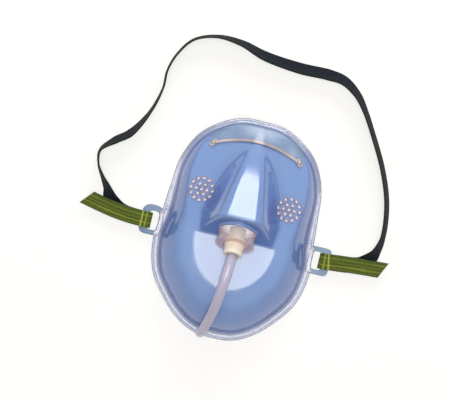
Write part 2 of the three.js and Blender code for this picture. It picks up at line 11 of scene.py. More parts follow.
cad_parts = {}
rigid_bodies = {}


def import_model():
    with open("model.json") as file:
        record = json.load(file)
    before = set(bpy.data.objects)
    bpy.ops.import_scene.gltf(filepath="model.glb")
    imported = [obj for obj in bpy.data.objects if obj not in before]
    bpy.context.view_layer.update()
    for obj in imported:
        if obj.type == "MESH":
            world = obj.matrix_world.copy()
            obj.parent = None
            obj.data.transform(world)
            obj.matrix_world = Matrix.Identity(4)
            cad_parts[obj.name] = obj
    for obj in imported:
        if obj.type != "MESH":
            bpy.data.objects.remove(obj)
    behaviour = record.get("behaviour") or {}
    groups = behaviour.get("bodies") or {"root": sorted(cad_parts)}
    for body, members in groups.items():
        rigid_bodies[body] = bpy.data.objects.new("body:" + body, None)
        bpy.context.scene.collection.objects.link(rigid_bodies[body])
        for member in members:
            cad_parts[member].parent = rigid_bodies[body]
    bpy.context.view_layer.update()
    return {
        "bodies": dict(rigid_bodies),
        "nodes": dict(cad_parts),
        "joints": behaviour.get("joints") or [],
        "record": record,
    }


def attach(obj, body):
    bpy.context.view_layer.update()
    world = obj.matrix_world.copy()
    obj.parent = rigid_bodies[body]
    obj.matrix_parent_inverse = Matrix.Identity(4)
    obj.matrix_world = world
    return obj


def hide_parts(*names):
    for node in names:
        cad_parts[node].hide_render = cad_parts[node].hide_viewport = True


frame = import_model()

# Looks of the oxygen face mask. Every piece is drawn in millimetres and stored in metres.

MM = 0.001

# Sizes of the part's source, with places measured from the middle of the mask
GAP = 0.3
MASK_LENGTH = 130.5
MASK_WIDTH = 94.0
FLANGE_WIDTH = 5.0
NOSE_FLANGE_WIDTH = 3.2
FLANGE_THICKNESS = 1.6
NOSE_LIFT = 8.0
LIFT_START_Y = 28.0
LIFT_END_Y = 62.0
OUTLINE_SHARES = [1, 1.022, 1.041, 1.066, 1.045, 0.982, 0.975, 1.038, 1.06, 1.03, 1.02, 1.014, 1]
WALL = 1.2
CHIN_HEIGHT = 27.0
CHEEK_RISE = 36.0
DOME_ROUNDNESS = 2.4
WALL_STEEPNESS = 0.6
CHEEK_SLOPE = 0.21
CHEEK_SLOPE_START_Y = -4.4
FRONT_BLEND = 0.5
CHEEK_BLEND = 2.5
RIM_WALL_RISE = 70.0
LEDGE_COVER = 4.2
BRIDGE_HEIGHT = 12.0
BRIDGE_Y = 60.0
NOSE_BULGE = 2.5
SIDE_SLOPE_TIP = 2.8
SIDE_SLOPE_BRIDGE = 0.3
RIDGE_HALF_TIP = 12.5
RIDGE_HALF_BRIDGE = 1.0
RIDGE_FLATNESS = 7.0
LEDGE_BLEND = 4.0
NOSE_FOOT_BLEND = 8.0
LEDGE_FOOT_BLEND = 2.0
FOOT_BLEND_LENGTH = 16.0
PANEL_HALF_WIDTH = 21.5
PANEL_START_Y = -6.0
PANEL_DEPTH = 26.0
PANEL_FALL = 0.17
PANEL_EDGE = 1.4
PORT_ELEVATION = math.radians(24)
ADAPTER_DIAMETER = 22.0
ADAPTER_REACH = 9.5
ADAPTER_WALL = 1.2
ADAPTER_LIP = 1.0
ADAPTER_LIP_THICKNESS = 1.2
ADAPTER_TAPER = 0.2
ADAPTER_RING = 0.5
ADAPTER_RING_WIDTH = 1.2
PORT_SEAT = 0.9
COLLAR_WALL = 1.3
COLLAR_REACH = 1.8
NIPPLE_DIAMETER = 11.4
NIPPLE_TAPER = 0.6
NIPPLE_REACH = 15.5
NIPPLE_INNER_END = -1.0
NIPPLE_LIP = 1.5
NIPPLE_LIP_THICKNESS = 1.2
NIPPLE_BORE = 3.2
TUBE_DIAMETER = 6.0
TUBE_SOCKET_DEPTH = 7.0
VENT_X = 26.0
VENT_Y = 18.5
VENT_HOLE = 1.7
VENT_RING_STEP = 3.2
DRILL_REACH = 3.6  # drills go this far to each side of the face that they pierce
CLIP_HALF_SPAN = 27.5
CLIP_Y = 52.05
CLIP_SAG = 6.8
CLIP_WIDTH = 1.8
CLIP_EYE_RADIUS = 2.0
CLIP_THICKNESS = 0.7
CLIP_GAP = 0.45
RIVET_HEAD = 2.8
RIVET_HEAD_HEIGHT = 0.9
RIVET_SHANK = 1.6
RIVET_TAIL_HEIGHT = 0.7
TAB_Y = -6.5
TAB_HEIGHT = 16.4
TAB_ARM = 2.9
TAB_BAR = 4.5
TAB_SLOT = 6.1
TAB_ROOT = 2.0
TAB_UNDER = 2.0
TAB_THICKNESS = 1.6
BOSS_DIAMETER = 2.8
BOSS_HEIGHT = 2.6
BOSS_INSET = 2.6
BOSS_ABOVE_TAB = 1.3
STRAP_WIDTH = 9.4
STRAP_THICKNESS = 0.9
STRAP_CUT_SLANT = 0.55
STRAP_ROUTE = [
    [-90.5, 4.6, 3.6, 80, 0], [-81.5, 2.7, 3.9, 80, 0], [-72.5, 1.1, 4.1, 85, 0],
    [-64, 0.2, 4.4, 90, 0], [-58, 0, 4.55, 90, 0], [-55, 0, 4.55, 90, 0],
    [-52.3, 0, 4.2, 90, 0], [-50.9, 0, 2.8, 90, 0], [-52.2, 0, 1.5, 90, 0],
    [-55, 0, 1.15, 90, 0], [-62, 0.2, 1.1, 90, 0], [-68, 1, 1.1, 80, 0],
    [-73, 3.2, 1.3, 66, 4], [-76.8, 7, 2.9, 33, 25], [-79.6, 12, 4.5, 26, 58],
    [-84, 18, 5, 30, 76], [-88.3, 25, 5.1, 10, 84], [-89.3, 33.2, 5.1, -12, 80],
    [-82.1, 40.9, 5, -50, 62], [-74.5, 47, 4.9, -45, 60], [-66.1, 61.7, 5.1, -25, 78],
    [-62, 77.1, 5.1, -10, 84], [-61.9, 87.9, 5.1, 0, 84], [-58.6, 98.5, 5.1, -25, 82],
    [-51, 109, 5.1, -50, 80], [-38, 114, 5, -80, 76], [-23, 113.5, 4.9, -100, 64],
    [-8.5, 109.5, 4.5, -105, 50], [13.2, 107.3, 4.1, -92, 42], [31.2, 107.5, 4.1, -95, 42],
    [40.4, 106.2, 4.5, -115, 50], [49.9, 99.9, 4.9, -140, 60], [56.7, 91.4, 5, -148, 68],
    [62.6, 82, 5, -150, 70], [74.4, 60.7, 5, -158, 70], [81.5, 41.4, 5, -168, 70],
    [83.8, 22, 5, -182, 70], [82, 13, 4.5, -204, 56], [79, 7.5, 2.9, -217, 25],
    [75, 3.6, 1.3, -245, 4], [68, 1.8, 1.1, -262, 0], [61, 1, 1.1, -270, 0],
    [55, 0.5, 1.15, -270, 0], [52.2, 0.4, 1.5, -270, 0], [50.9, 0.4, 2.8, -270, 0],
    [52.3, 0.4, 4.2, -270, 0], [55, 0.5, 4.55, -270, 0], [58, 1, 4.55, -269, 0],
    [66, 1.8, 4.4, -267, 0], [76, 2.6, 4.1, -266, 0], [88.6, 3.4, 3.6, -266, 0],
]
LEFT_SLOT_ROW = 7
RIGHT_SLOT_ROW = 44
TUBE_ROUTE = [
    [0, -9, 42.23], [0, -13.47, 44.22], [-0.16, -18.04, 45.94],
    [-0.44, -22.83, 46.84], [-0.79, -27.7, 46.88], [-1.18, -32.5, 46.06],
    [-1.6, -37.08, 44.4], [-2.06, -41.29, 41.97], [-2.55, -45.01, 38.84],
    [-3.06, -48.11, 35.1], [-3.59, -50.6, 30.93], [-4.15, -52.99, 26.7],
    [-4.72, -55.38, 22.47], [-5.32, -57.77, 18.24], [-5.93, -60.13, 14],
    [-6.56, -62.05, 9.55], [-7.2, -63.43, 4.9],
]

# Sizes of finer forms than the part's source has
FLANGE_ROOT = 1.5  # from the wall to the end of its fillet
FILLET_PULL = 0.15
GROOVE_DEPTH = 0.12
BEAD_START = 1.6  # this and the next two are from the flange's outer edge
BEAD_SHOULDER = 1.05
BEAD_TOP = 0.75
BEAD_RISE = 0.25
BEAD_SIDE = 0.6
EDGE_ROUND = 0.5
SOLE_START = 0.8
VENT_RIM = 0.5
VENT_RIM_ROOT = -0.5
LEFT_TAB_ARCH = 1.3
LEFT_TAB_CORNER = 4.2  # larger is squarer
RIGHT_TAB_CORNER = 5.5
SLOT_CORNER = 7
SLOT_ARCH = 0.6
TAB_EDGE = 0.45
TAB_SOFT_EDGE = 0.13
TAB_SINK = 0.6  # how far the plate goes into its post
POST_EDGE = 0.4
POST_LIFT = 0.05
POST_INSET = 0.6
POST_DROP = 0.15
BOSS_FOOT = 0.8
BOSS_EDGE = 0.5
COLLAR_EDGE = 0.5
CLIP_EDGE = 0.22
AXIS_HOLE = 0.02  # a turned rivet keeps this fine hole on its axis
RIVET_RIM = 0.08
NIPPLE_BAND = 2.1
NIPPLE_BAND_FOOT = 2.4
NIPPLE_BAND_RISE = 0.35
TUBE_WALL = 0.9
TUBE_END_ROUND = 0.18
CUT_FADE = 9  # steps over which the slant of a cut end fades
RIBS = 6
RIB_DEPTH = 0.1

# Bounds of the zones with a material or colour of their own
RIM_MARGIN = 0.4
EDGE_BAND = 0.42
TAB_MARGIN = 2
# reach from the slot of the painted fold highlights on the strap
FOLD_HIGHLIGHT_REACH = 10.0

# Values that follow from the sizes
BORE_RADIUS = ADAPTER_DIAMETER / 2 + GAP
LIP_RADIUS = ADAPTER_DIAMETER / 2 + ADAPTER_LIP
PORT_AXIS = Vector((0, -math.cos(PORT_ELEVATION), math.sin(PORT_ELEVATION)))
PORT_Z = CHIN_HEIGHT + PORT_SEAT + BORE_RADIUS * math.cos(PORT_ELEVATION)
PORT_FACE = Vector((0, 0, PORT_Z))
NOSE_HEIGHT = PORT_Z + LIP_RADIUS * math.cos(PORT_ELEVATION) + LEDGE_COVER
LEDGE_SLOPE = 1 / math.tan(PORT_ELEVATION)
LEDGE_Y = (NOSE_HEIGHT - PORT_Z) / LEDGE_SLOPE
LEDGE_FOOT_Y = (CHIN_HEIGHT - PORT_Z) / LEDGE_SLOPE

# Fineness
SECTORS = 300
RINGS = 88
LAST_SHARE = 0.985  # of the way to the flange, where the dome's rings end
PORT_SIDES = 160
NIPPLE_SIDES = 96
RIVET_SIDES = 40
HOLE_SIDES = 24
VENT_SIDES = 20
BOSS_SIDES = 32
TUBE_SIDES = 40
TUBE_STEPS = 8
STRAP_STEP = 0.9  # about this far lies between two rings of the strap
SECTION_STEPS = 48
CLIP_COLUMNS = 220
CLIP_ACROSS = 9
TAB_STEPS = 144
SLOPE_STEP = 0.05


def link(name, data):
    """A new object in the scene, from its mesh, camera or lamp data."""
    made = bpy.data.objects.new(name, data)
    bpy.context.scene.collection.objects.link(made)
    return made


# Camera
TARGET = Vector((-11.3, 15.4, 8)) * MM
DISTANCE = 1.1
VIEW_WIDTH = 0.263
ROLL = math.radians(13.6)
SENSOR = 36


def make_camera():
    """Looks straight down on the mask, turned about the line of sight."""
    data = bpy.data.cameras.new("camera")
    data.sensor_width = SENSOR
    data.lens = SENSOR * DISTANCE / VIEW_WIDTH
    data.clip_start = 0.05
    data.clip_end = 20
    camera = link("camera", data)
    above = TARGET + Vector((0, 0, DISTANCE))
    camera.matrix_world = Matrix.Translation(above) @ Matrix.Rotation(ROLL, 4, "Z")
    bpy.context.scene.camera = camera


make_camera()


# Meshes
def mesh_of(name, points, faces):
    """A mesh from points in millimetres."""
    mesh = bpy.data.meshes.new(name)
    mesh.from_pydata((np.asarray(points, float) * MM).tolist(), [], faces)
    mesh.update()
    mesh.polygons.foreach_set("use_smooth", [True] * len(mesh.polygons))
    return mesh


def ring_faces(rings, sides, closed_rings=False):
    """Quads between rings of the same number of points, in order."""
    faces = []
    last = rings if closed_rings else rings - 1
    for k in range(last):
        a, b = k * sides, (k + 1) % rings * sides
        for i in range(sides):
            j = (i + 1) % sides
            faces.append((a + i, a + j, b + j, b + i))
    return faces


def fix_normals(mesh, weld=True):
    """Turns every face outward, and where weld is set first joins points that coincide."""
    work = bmesh.new()
    work.from_mesh(mesh)
    if weld:
        bmesh.ops.remove_doubles(work, verts=work.verts, dist=1e-8)
    bmesh.ops.recalc_face_normals(work, faces=work.faces)
    work.to_mesh(mesh)
    work.free()
    return mesh


def solid_of(name, points, faces):
    return fix_normals(mesh_of(name, points, faces))


def turned_points(profile, sides, axis, origin):
    """A ring of points about an axis for each [radius, height] pair."""
    frame_x = axis.orthogonal().normalized()
    frame_y = axis.cross(frame_x)
    points = []
    for radius, height in profile:
        for i in range(sides):
            angle = 2 * math.pi * i / sides
            spoke = frame_x * math.cos(angle) + frame_y * math.sin(angle)
            points.append(origin + axis * height + spoke * radius)
    return points


def lathe(name, profile, sides, axis, origin):
    """A closed body turned about an axis, from [radius, height] pairs that go round its section."""
    points = turned_points(profile, sides, axis, origin)
    return solid_of(name, points, ring_faces(len(profile), sides, closed_rings=True))


def rod(name, radius, low, high, sides, axis, origin, edge=0.0):
    """A solid rod along an axis, with rounded edges where edge is set."""
    profile = [(radius, low), (radius, high)]
    if edge:
        soft = 0.3 * edge
        profile = [(radius - edge, low), (radius - soft, low + soft), (radius, low + edge)]
        profile += [(radius, high - edge), (radius - soft, high - soft), (radius - edge, high)]
    points = turned_points(profile, sides, axis, origin)
    faces = ring_faces(len(profile), sides)
    points.append(origin + axis * low)
    points.append(origin + axis * high)
    bottom, top = len(points) - 2, len(points) - 1
    last_ring = (len(profile) - 1) * sides
    for i in range(sides):
        j = (i + 1) % sides
        faces.append((bottom, j, i))
        faces.append((top, last_ring + i, last_ring + j))
    return solid_of(name, points, faces)


def joined(name, meshes):
    work = bmesh.new()
    for mesh in meshes:
        work.from_mesh(mesh)
    mesh = bpy.data.meshes.new(name)
    work.to_mesh(mesh)
    work.free()
    return mesh


def boolean(piece, mesh, operation):
    tool = link("tool", mesh)
    modifier = piece.modifiers.new("cut", "BOOLEAN")
    modifier.operation = operation
    modifier.solver = "MANIFOLD"
    modifier.object = tool
    graph = bpy.context.evaluated_depsgraph_get()
    result = bpy.data.meshes.new_from_object(piece.evaluated_get(graph))
    piece.modifiers.clear()
    piece.data = result
    bpy.data.objects.remove(tool)


def keep_skin_shading(piece, skin, reach=0.005, least_match=0.8):
    """Takes the shading of the uncut skin wherever the piece still follows it."""
    spots = [vertex.co.copy() for vertex in skin.vertices]
    normals = [Vector(normal.vector) for normal in skin.vertex_normals]
    faces = [tuple(face.vertices) for face in skin.polygons]
    tree = BVHTree.FromPolygons(spots, faces)
    mesh = piece.data
    wanted = np.zeros((len(mesh.vertices), 3))
    for vertex in mesh.vertices:
        place, _, face, _ = tree.find_nearest(vertex.co, reach * MM)
        if place is None:
            continue
        weights = poly_3d_calc([spots[n] for n in faces[face]], place)
        mixed = sum((normals[n] * w for n, w in zip(faces[face], weights)), Vector())
        wanted[vertex.index] = mixed.normalized()
    corners = np.zeros(len(mesh.loops) * 3)
    mesh.corner_normals.foreach_get("vector", corners)
    corners = corners.reshape(-1, 3)
    vertices = np.zeros(len(mesh.loops), int)
    mesh.loops.foreach_get("vertex_index", vertices)
    flat = np.zeros(len(mesh.polygons) * 3)
    mesh.polygons.foreach_get("normal", flat)
    counts = np.array([len(face.vertices) for face in mesh.polygons])
    flat = np.repeat(flat.reshape(-1, 3), counts, axis=0)
    follows = (flat * wanted[vertices]).sum(1) > least_match
    corners[follows] = wanted[vertices][follows]
    mesh.normals_split_custom_set(corners.tolist())


def finish_shading(mesh, angle=35):
    mesh.polygons.foreach_set("use_smooth", [True] * len(mesh.polygons))
    mesh.set_sharp_from_angle(angle=math.radians(angle))
    mesh.update()


# The mask's form
def smooth_min(a, b, blend):
    h = np.maximum(blend - np.abs(a - b), 0) / np.maximum(blend, 1e-9)
    return np.minimum(a, b) - h * h * blend / 4


def smooth_max(a, b, blend):
    return -smooth_min(-a, -b, blend)


def lerp(a, b, t):
    return a + (b - a) * t


def smoothstep(x, low, high):
    t = np.clip((x - low) / (high - low), 0, 1)
    return t * t * (3 - 2 * t)


def outer_reach(x, y):
    """Plan distance from the middle to the flange's outer edge, toward (x, y)."""
    x, y = np.broadcast_arrays(np.asarray(x, float), np.asarray(y, float))
    across = np.abs(x) / (MASK_WIDTH / 2)
    along = y / (MASK_LENGTH / 2)
    shares = np.array(OUTLINE_SHARES, float)
    last = len(shares) - 1
    place = np.arctan2(across, along) / math.pi * last
    i = np.minimum(np.floor(place).astype(int), last - 1)
    p, q, r, s = (shares[last - np.abs(last - np.abs(i + n))] for n in (-1, 0, 1, 2))
    t = place - i
    cubic = (3 * q - p - 3 * r + s) * t ** 3
    share = 0.5 * (2 * q + (r - p) * t + (2 * p - 5 * q + 4 * r - s) * t ** 2 + cubic)
    spread = np.hypot(across, along)
    at_pole = spread < 1e-12
    return np.where(at_pole, MASK_LENGTH / 2, share * np.hypot(x, y) / np.where(at_pole, 1, spread))


def flange_width(share):
    return lerp(FLANGE_WIDTH, NOSE_FLANGE_WIDTH, smoothstep(share, 0, 1))


def inner_reach(x, y):
    length = np.hypot(x, y)
    return outer_reach(x, y) - flange_width(y / np.where(length < 1e-12, 1, length))


def flange_bottom(y):
    return NOSE_LIFT * smoothstep(y, LIFT_START_Y, LIFT_END_Y)


def nose_top(x, y):
    t = (y - LEDGE_Y) / (BRIDGE_Y - LEDGE_Y)
    along = np.clip(t, 0, 1)
    ridge = lerp(NOSE_HEIGHT, BRIDGE_HEIGHT, np.maximum(t, 0)) + NOSE_BULGE * np.sin(math.pi * along)
    half = lerp(RIDGE_HALF_TIP, RIDGE_HALF_BRIDGE, along)
    fall = lerp(SIDE_SLOPE_TIP, SIDE_SLOPE_BRIDGE, along)
    rounded = (np.abs(x) ** RIDGE_FLATNESS + half ** RIDGE_FLATNESS) ** (1 / RIDGE_FLATNESS)
    roof = ridge - fall * (rounded - half)
    return smooth_min(roof, PORT_Z + y * LEDGE_SLOPE, LEDGE_BLEND)


def panel_drop(x, y):
    """How far the chin falls away outside its flat front panel."""
    below = np.minimum(y - PANEL_START_Y, 0) / PANEL_DEPTH
    rho = np.hypot(x / PANEL_HALF_WIDTH, below)
    beyond = np.maximum(rho - 1, 0) * PANEL_HALF_WIDTH
    return PANEL_FALL * (np.hypot(beyond, PANEL_EDGE) - PANEL_EDGE)


def shell_top(x, y):
    x, y = np.asarray(x, float), np.asarray(y, float)
    s = np.minimum(np.hypot(x, y) / inner_reach(x, y), 1)
    foot = flange_bottom(y) + FLANGE_THICKNESS
    rounding = (1 - s ** DOME_ROUNDNESS) ** WALL_STEEPNESS
    slope = CHIN_HEIGHT - CHEEK_SLOPE * (y - CHEEK_SLOPE_START_Y)
    front = smooth_min(CHIN_HEIGHT, slope, FRONT_BLEND) - panel_drop(x, y)
    cheeks = smooth_min(foot + CHEEK_RISE * rounding, front, CHEEK_BLEND * rounding)
    past = smoothstep(y, LEDGE_FOOT_Y, LEDGE_FOOT_Y + FOOT_BLEND_LENGTH)
    body = smooth_max(cheeks, nose_top(x, y), lerp(LEDGE_FOOT_BLEND, NOSE_FOOT_BLEND, past))
    return np.minimum(body, foot + RIM_WALL_RISE * rounding)


def shell_normal(x, y):
    dx = shell_top(x + SLOPE_STEP, y) - shell_top(x - SLOPE_STEP, y)
    dy = shell_top(x, y + SLOPE_STEP) - shell_top(x, y - SLOPE_STEP)
    normal = np.stack([-dx, -dy, np.full_like(dx, 2 * SLOPE_STEP)], axis=-1)
    return normal / np.linalg.norm(normal, axis=-1, keepdims=True)


def beside_shell(x, y, distance):
    x, y = np.asarray(x, float), np.asarray(y, float)
    point = np.stack([x, y, shell_top(x, y)], axis=-1)
    return point + distance * shell_normal(x, y)


def edge_at(y):
    """Plan distance from the middle line to the flange's outer edge, found step by step."""
    x = MASK_WIDTH / 2
    for _ in range(12):
        x = math.sqrt(float(outer_reach(x, y)) ** 2 - y * y)
    return x


SLOT_INNER = edge_at(TAB_Y)
BAR_INNER = SLOT_INNER + TAB_SLOT
BAR_OUTER = BAR_INNER + TAB_BAR


def moulding():
    """The body without its cuts: outer face, flange and inner face, as rings about the port."""
    angles = 2 * math.pi * np.arange(SECTORS) / SECTORS
    x = -np.sin(angles) * MASK_WIDTH / 2
    y = np.cos(angles) * MASK_LENGTH / 2
    length = np.hypot(x, y)
    ux, uy = x / length, y / length
    inner = inner_reach(ux, uy)
    outer = outer_reach(ux, uy)
    shares = [(1 - math.cos(math.pi * k / RINGS)) / 2 for k in range(1, RINGS)]
    shares = [share for share in shares if share < LAST_SHARE]

    def dome(share, depth):
        return beside_shell(ux * inner * share, uy * inner * share, -depth)

    def flat(reach, height):
        return np.stack([ux * reach, uy * reach, flange_bottom(uy * reach) + height], axis=-1)

    def bezier(a, b, c, steps):
        ts = [n / (steps + 1) for n in range(1, steps + 1)]
        return [(1 - t) ** 2 * a + 2 * t * (1 - t) * b + t * t * c for t in ts]

    top = FLANGE_THICKNESS
    crest = top + BEAD_RISE
    root = flat(inner + FLANGE_ROOT, top)
    sole = flat(inner - WALL + SOLE_START, 0)
    middle = lerp(inner + FLANGE_ROOT, outer - BEAD_START, 0.5)
    rings = [dome(share, 0) for share in shares]
    rings += bezier(rings[-1], flat(inner + FILLET_PULL, top), root, 5)
    rings.append(root)
    rings.append(flat(middle, top - GROOVE_DEPTH))
    rings.append(flat(outer - BEAD_START, top - 0.05))
    rings.append(flat(outer - BEAD_SHOULDER, top + 0.22))
    rings += bezier(flat(outer - BEAD_TOP, crest), flat(outer, crest), flat(outer, top - BEAD_SIDE), 5)
    rings.append(flat(outer, EDGE_ROUND + 0.05))
    rings += bezier(flat(outer, EDGE_ROUND), flat(outer, 0), flat(outer - EDGE_ROUND, 0), 3)
    rings.append(flat(outer - EDGE_ROUND - 0.1, 0))
    rings.append(sole)
    inside = [dome(share, WALL) for share in shares[::-1]]
    rings += bezier(sole, flat(inner - WALL, 0), inside[0], 4)
    rings += inside
    points = np.concatenate(rings)
    faces = ring_faces(len(rings), SECTORS)
    first = beside_shell(0, 0, 0)
    last = beside_shell(0, 0, -WALL)
    points = np.concatenate([points, first[None], last[None]])
    a, b = len(points) - 2, len(points) - 1
    start = (len(rings) - 1) * SECTORS
    for i in range(SECTORS):
        j = (i + 1) % SECTORS
        faces.append((a, j, i))
        faces.append((b, start + i, start + j))
    return solid_of("mask_body", points, faces)


def loop_points(half_x, half_y, corner, count, bulge=0.0):
    """Points round a rounded rectangle, at even angles. Bulge arches its upper side."""
    points = []
    for n in range(count):
        angle = 2 * math.pi * n / count
        c, s = math.cos(angle), math.sin(angle)
        scale = (abs(c / half_x) ** corner + abs(s / half_y) ** corner) ** (-1 / corner)
        x, y = c * scale, s * scale
        if y > 0:
            y += bulge * max(0, 1 - (x / half_x) ** 2) * (y / half_y)
        points.append((x, y))
    return points


def tab_frame(side):
    """The slotted plate at one side, with rounded edges."""
    left, right = SLOT_INNER - TAB_ROOT - TAB_SINK, BAR_OUTER
    arch = LEFT_TAB_ARCH if side < 0 else 0.0
    corner = LEFT_TAB_CORNER if side < 0 else RIGHT_TAB_CORNER
    outer = loop_points((right - left) / 2, TAB_HEIGHT / 2, corner, TAB_STEPS, arch)
    slot_half_y = TAB_HEIGHT / 2 - TAB_ARM
    inner = loop_points(TAB_SLOT / 2, slot_half_y, SLOT_CORNER, TAB_STEPS, arch * SLOT_ARCH)
    middles = ((left + right) / 2, (SLOT_INNER + BAR_INNER) / 2)
    low, high, edge, soft = TAB_UNDER, TAB_UNDER + TAB_THICKNESS, TAB_EDGE, TAB_SOFT_EDGE
    flat = edge + 0.15
    section = [(0, low + edge), (soft, low + soft), (edge, low), (flat, low)]
    section += [(-flat, low), (-edge, low), (-soft, low + soft), (0, low + edge)]
    section += [(0, high - edge), (-soft, high - soft), (-edge, high), (-flat, high)]
    section += [(flat, high), (edge, high), (soft, high - soft), (0, high - edge)]
    which = [0] * 4 + [1] * 8 + [0] * 4
    points = []
    for (inset, z), loop in zip(section, which):
        for x, y in (outer, inner)[loop]:
            share = 1 - inset / math.hypot(x, y)
            points.append((side * (middles[loop] + x * share), y * share + TAB_Y, z))
    faces = ring_faces(len(section), TAB_STEPS, closed_rings=True)
    return solid_of("tab", points, faces)


def block(name, low, high, edge):
    """A box with rounded edges."""
    work = bmesh.new()
    bmesh.ops.create_cube(work, size=1)
    low, high = Vector(low) * MM, Vector(high) * MM
    size = high - low
    middle = (low + high) / 2
    for vertex in work.verts:
        vertex.co = Vector(vertex.co[n] * size[n] + middle[n] for n in range(3))
    bmesh.ops.bevel(work, geom=work.edges[:], offset=edge * MM, segments=3, profile=0.5, affect="EDGES")
    mesh = bpy.data.meshes.new(name)
    work.to_mesh(mesh)
    work.free()
    return mesh


def tab_post(side):
    root = SLOT_INNER - TAB_ROOT
    xs = sorted([side * (root - POST_EDGE), side * (SLOT_INNER - POST_LIFT)])
    half = TAB_HEIGHT / 2 - POST_INSET
    high = TAB_UNDER + TAB_THICKNESS - POST_DROP
    return block("post", (xs[0], TAB_Y - half, POST_LIFT), (xs[1], TAB_Y + half, high), POST_EDGE)


def boss(side):
    y = TAB_Y + TAB_HEIGHT / 2 + BOSS_ABOVE_TAB
    place = Vector((side * (edge_at(y) - BOSS_INSET), y, 0))
    up = Vector((0, 0, 1))
    return rod("boss", BOSS_DIAMETER / 2, BOSS_FOOT, BOSS_HEIGHT, BOSS_SIDES, up, place, edge=BOSS_EDGE)


def vent_places():
    places = [(0.0, 0.0)]
    for ring in (1, 2):
        for i in range(6 * ring):
            angle = 2 * math.pi * i / (6 * ring)
            reach = ring * VENT_RING_STEP
            places.append((reach * math.cos(angle), reach * math.sin(angle)))
    return places


def vents(side, rims):
    """The drills of one cluster, or the raised rims of its holes."""
    axis = Vector(shell_normal(np.array(side * VENT_X), np.array(VENT_Y)))
    made = []
    for x, y in vent_places():
        place = Vector(beside_shell(side * (VENT_X + x), VENT_Y + y, 0))
        if rims:
            hole, outer = VENT_HOLE / 2 - 0.1, VENT_HOLE / 2 + VENT_RIM
            profile = [(hole, VENT_RIM_ROOT), (outer + 0.1, VENT_RIM_ROOT), (outer, 0.12)]
            profile += [(outer - 0.12, 0.3), (outer - 0.3, 0.36), (hole, 0.3)]
            made.append(lathe("rim", profile, VENT_SIDES, axis, place))
        else:
            made.append(rod("drill", VENT_HOLE / 2, -DRILL_REACH, DRILL_REACH, VENT_SIDES, axis, place))
    return made


def clip_line_y(x):
    return CLIP_Y - CLIP_SAG * (x / CLIP_HALF_SPAN) ** 2


RIVET_X = CLIP_HALF_SPAN - CLIP_EYE_RADIUS


def rivet_place(side):
    x = side * RIVET_X
    y = clip_line_y(x)
    axis = Vector(shell_normal(np.array(x), np.array(y)))
    return Vector(beside_shell(x, y, 0)), axis


def drill_rivet_hole(piece, side):
    place, axis = rivet_place(side)
    hole = rod("hole", RIVET_SHANK / 2 + GAP, -DRILL_REACH, DRILL_REACH, HOLE_SIDES, axis, place)
    boolean(piece, hole, "DIFFERENCE")


def port_rod(name, radius, low, high, edge=0.0):
    return rod(name, radius, low, high, PORT_SIDES, PORT_AXIS, PORT_FACE, edge=edge)


def mask_body():
    piece = link("mask_body", moulding())
    skin = piece.data.copy()
    seat_end = -WALL - ADAPTER_LIP_THICKNESS - 2 * GAP
    collar = port_rod("collar", BORE_RADIUS + COLLAR_WALL, -WALL, COLLAR_REACH, edge=COLLAR_EDGE)
    boolean(piece, collar, "UNION")
    boolean(piece, port_rod("bore", BORE_RADIUS, seat_end, COLLAR_REACH + DRILL_REACH), "DIFFERENCE")
    boolean(piece, port_rod("seat", LIP_RADIUS + GAP, seat_end, -WALL), "DIFFERENCE")
    for side in (-1, 1):
        for mesh in (tab_frame(side), tab_post(side), boss(side)):
            boolean(piece, mesh, "UNION")
        for rim in vents(side, rims=True):
            boolean(piece, rim, "UNION")
        boolean(piece, joined("drills", vents(side, rims=False)), "DIFFERENCE")
        drill_rivet_hole(piece, side)
    finish_shading(piece.data)
    keep_skin_shading(piece, skin)
    return piece


# Clip, rivets, adapter, nipple
def clip_strip():
    """The strip, widened round each rivet, with rounded long edges."""
    columns, across = CLIP_COLUMNS, CLIP_ACROSS
    low, high = CLIP_GAP, CLIP_GAP + CLIP_THICKNESS
    rings = []
    for i in range(columns + 1):
        x = CLIP_HALF_SPAN * (2 * i / columns - 1)
        from_rivet = min(abs(abs(x) - RIVET_X), CLIP_EYE_RADIUS)
        eye = math.sqrt(CLIP_EYE_RADIUS ** 2 - from_rivet ** 2)
        narrow = CLIP_WIDTH / 2 if abs(x) < RIVET_X else 0.5
        reach = float(smooth_max(eye, narrow, 0.8))
        y = clip_line_y(x)
        ring = []
        for n in range(across):
            v = -1 + 2 * n / (across - 1)
            edge = CLIP_EDGE * max(0, abs(v) - 0.8) / 0.2
            ring.append(beside_shell(x, y + v * reach, low + edge * 0.5))
        for n in range(across - 1, -1, -1):
            v = -1 + 2 * n / (across - 1)
            edge = CLIP_EDGE * (max(0, abs(v) - 0.75) / 0.25) ** 2
            ring.append(beside_shell(x, y + v * reach, high - edge))
        rings.append(ring)
    points = [p for ring in rings for p in ring]
    sides = 2 * across
    faces = ring_faces(len(rings), sides)
    start = (len(rings) - 1) * sides
    for n in range(across - 1):
        faces.append((n, n + 1, sides - 2 - n, sides - 1 - n))
        faces.append((start + n, start + sides - 1 - n, start + sides - 2 - n, start + n + 1))
    piece = link("clip_strip", solid_of("clip_strip", points, faces))
    for side in (-1, 1):
        drill_rivet_hole(piece, side)
    finish_shading(piece.data)
    return piece


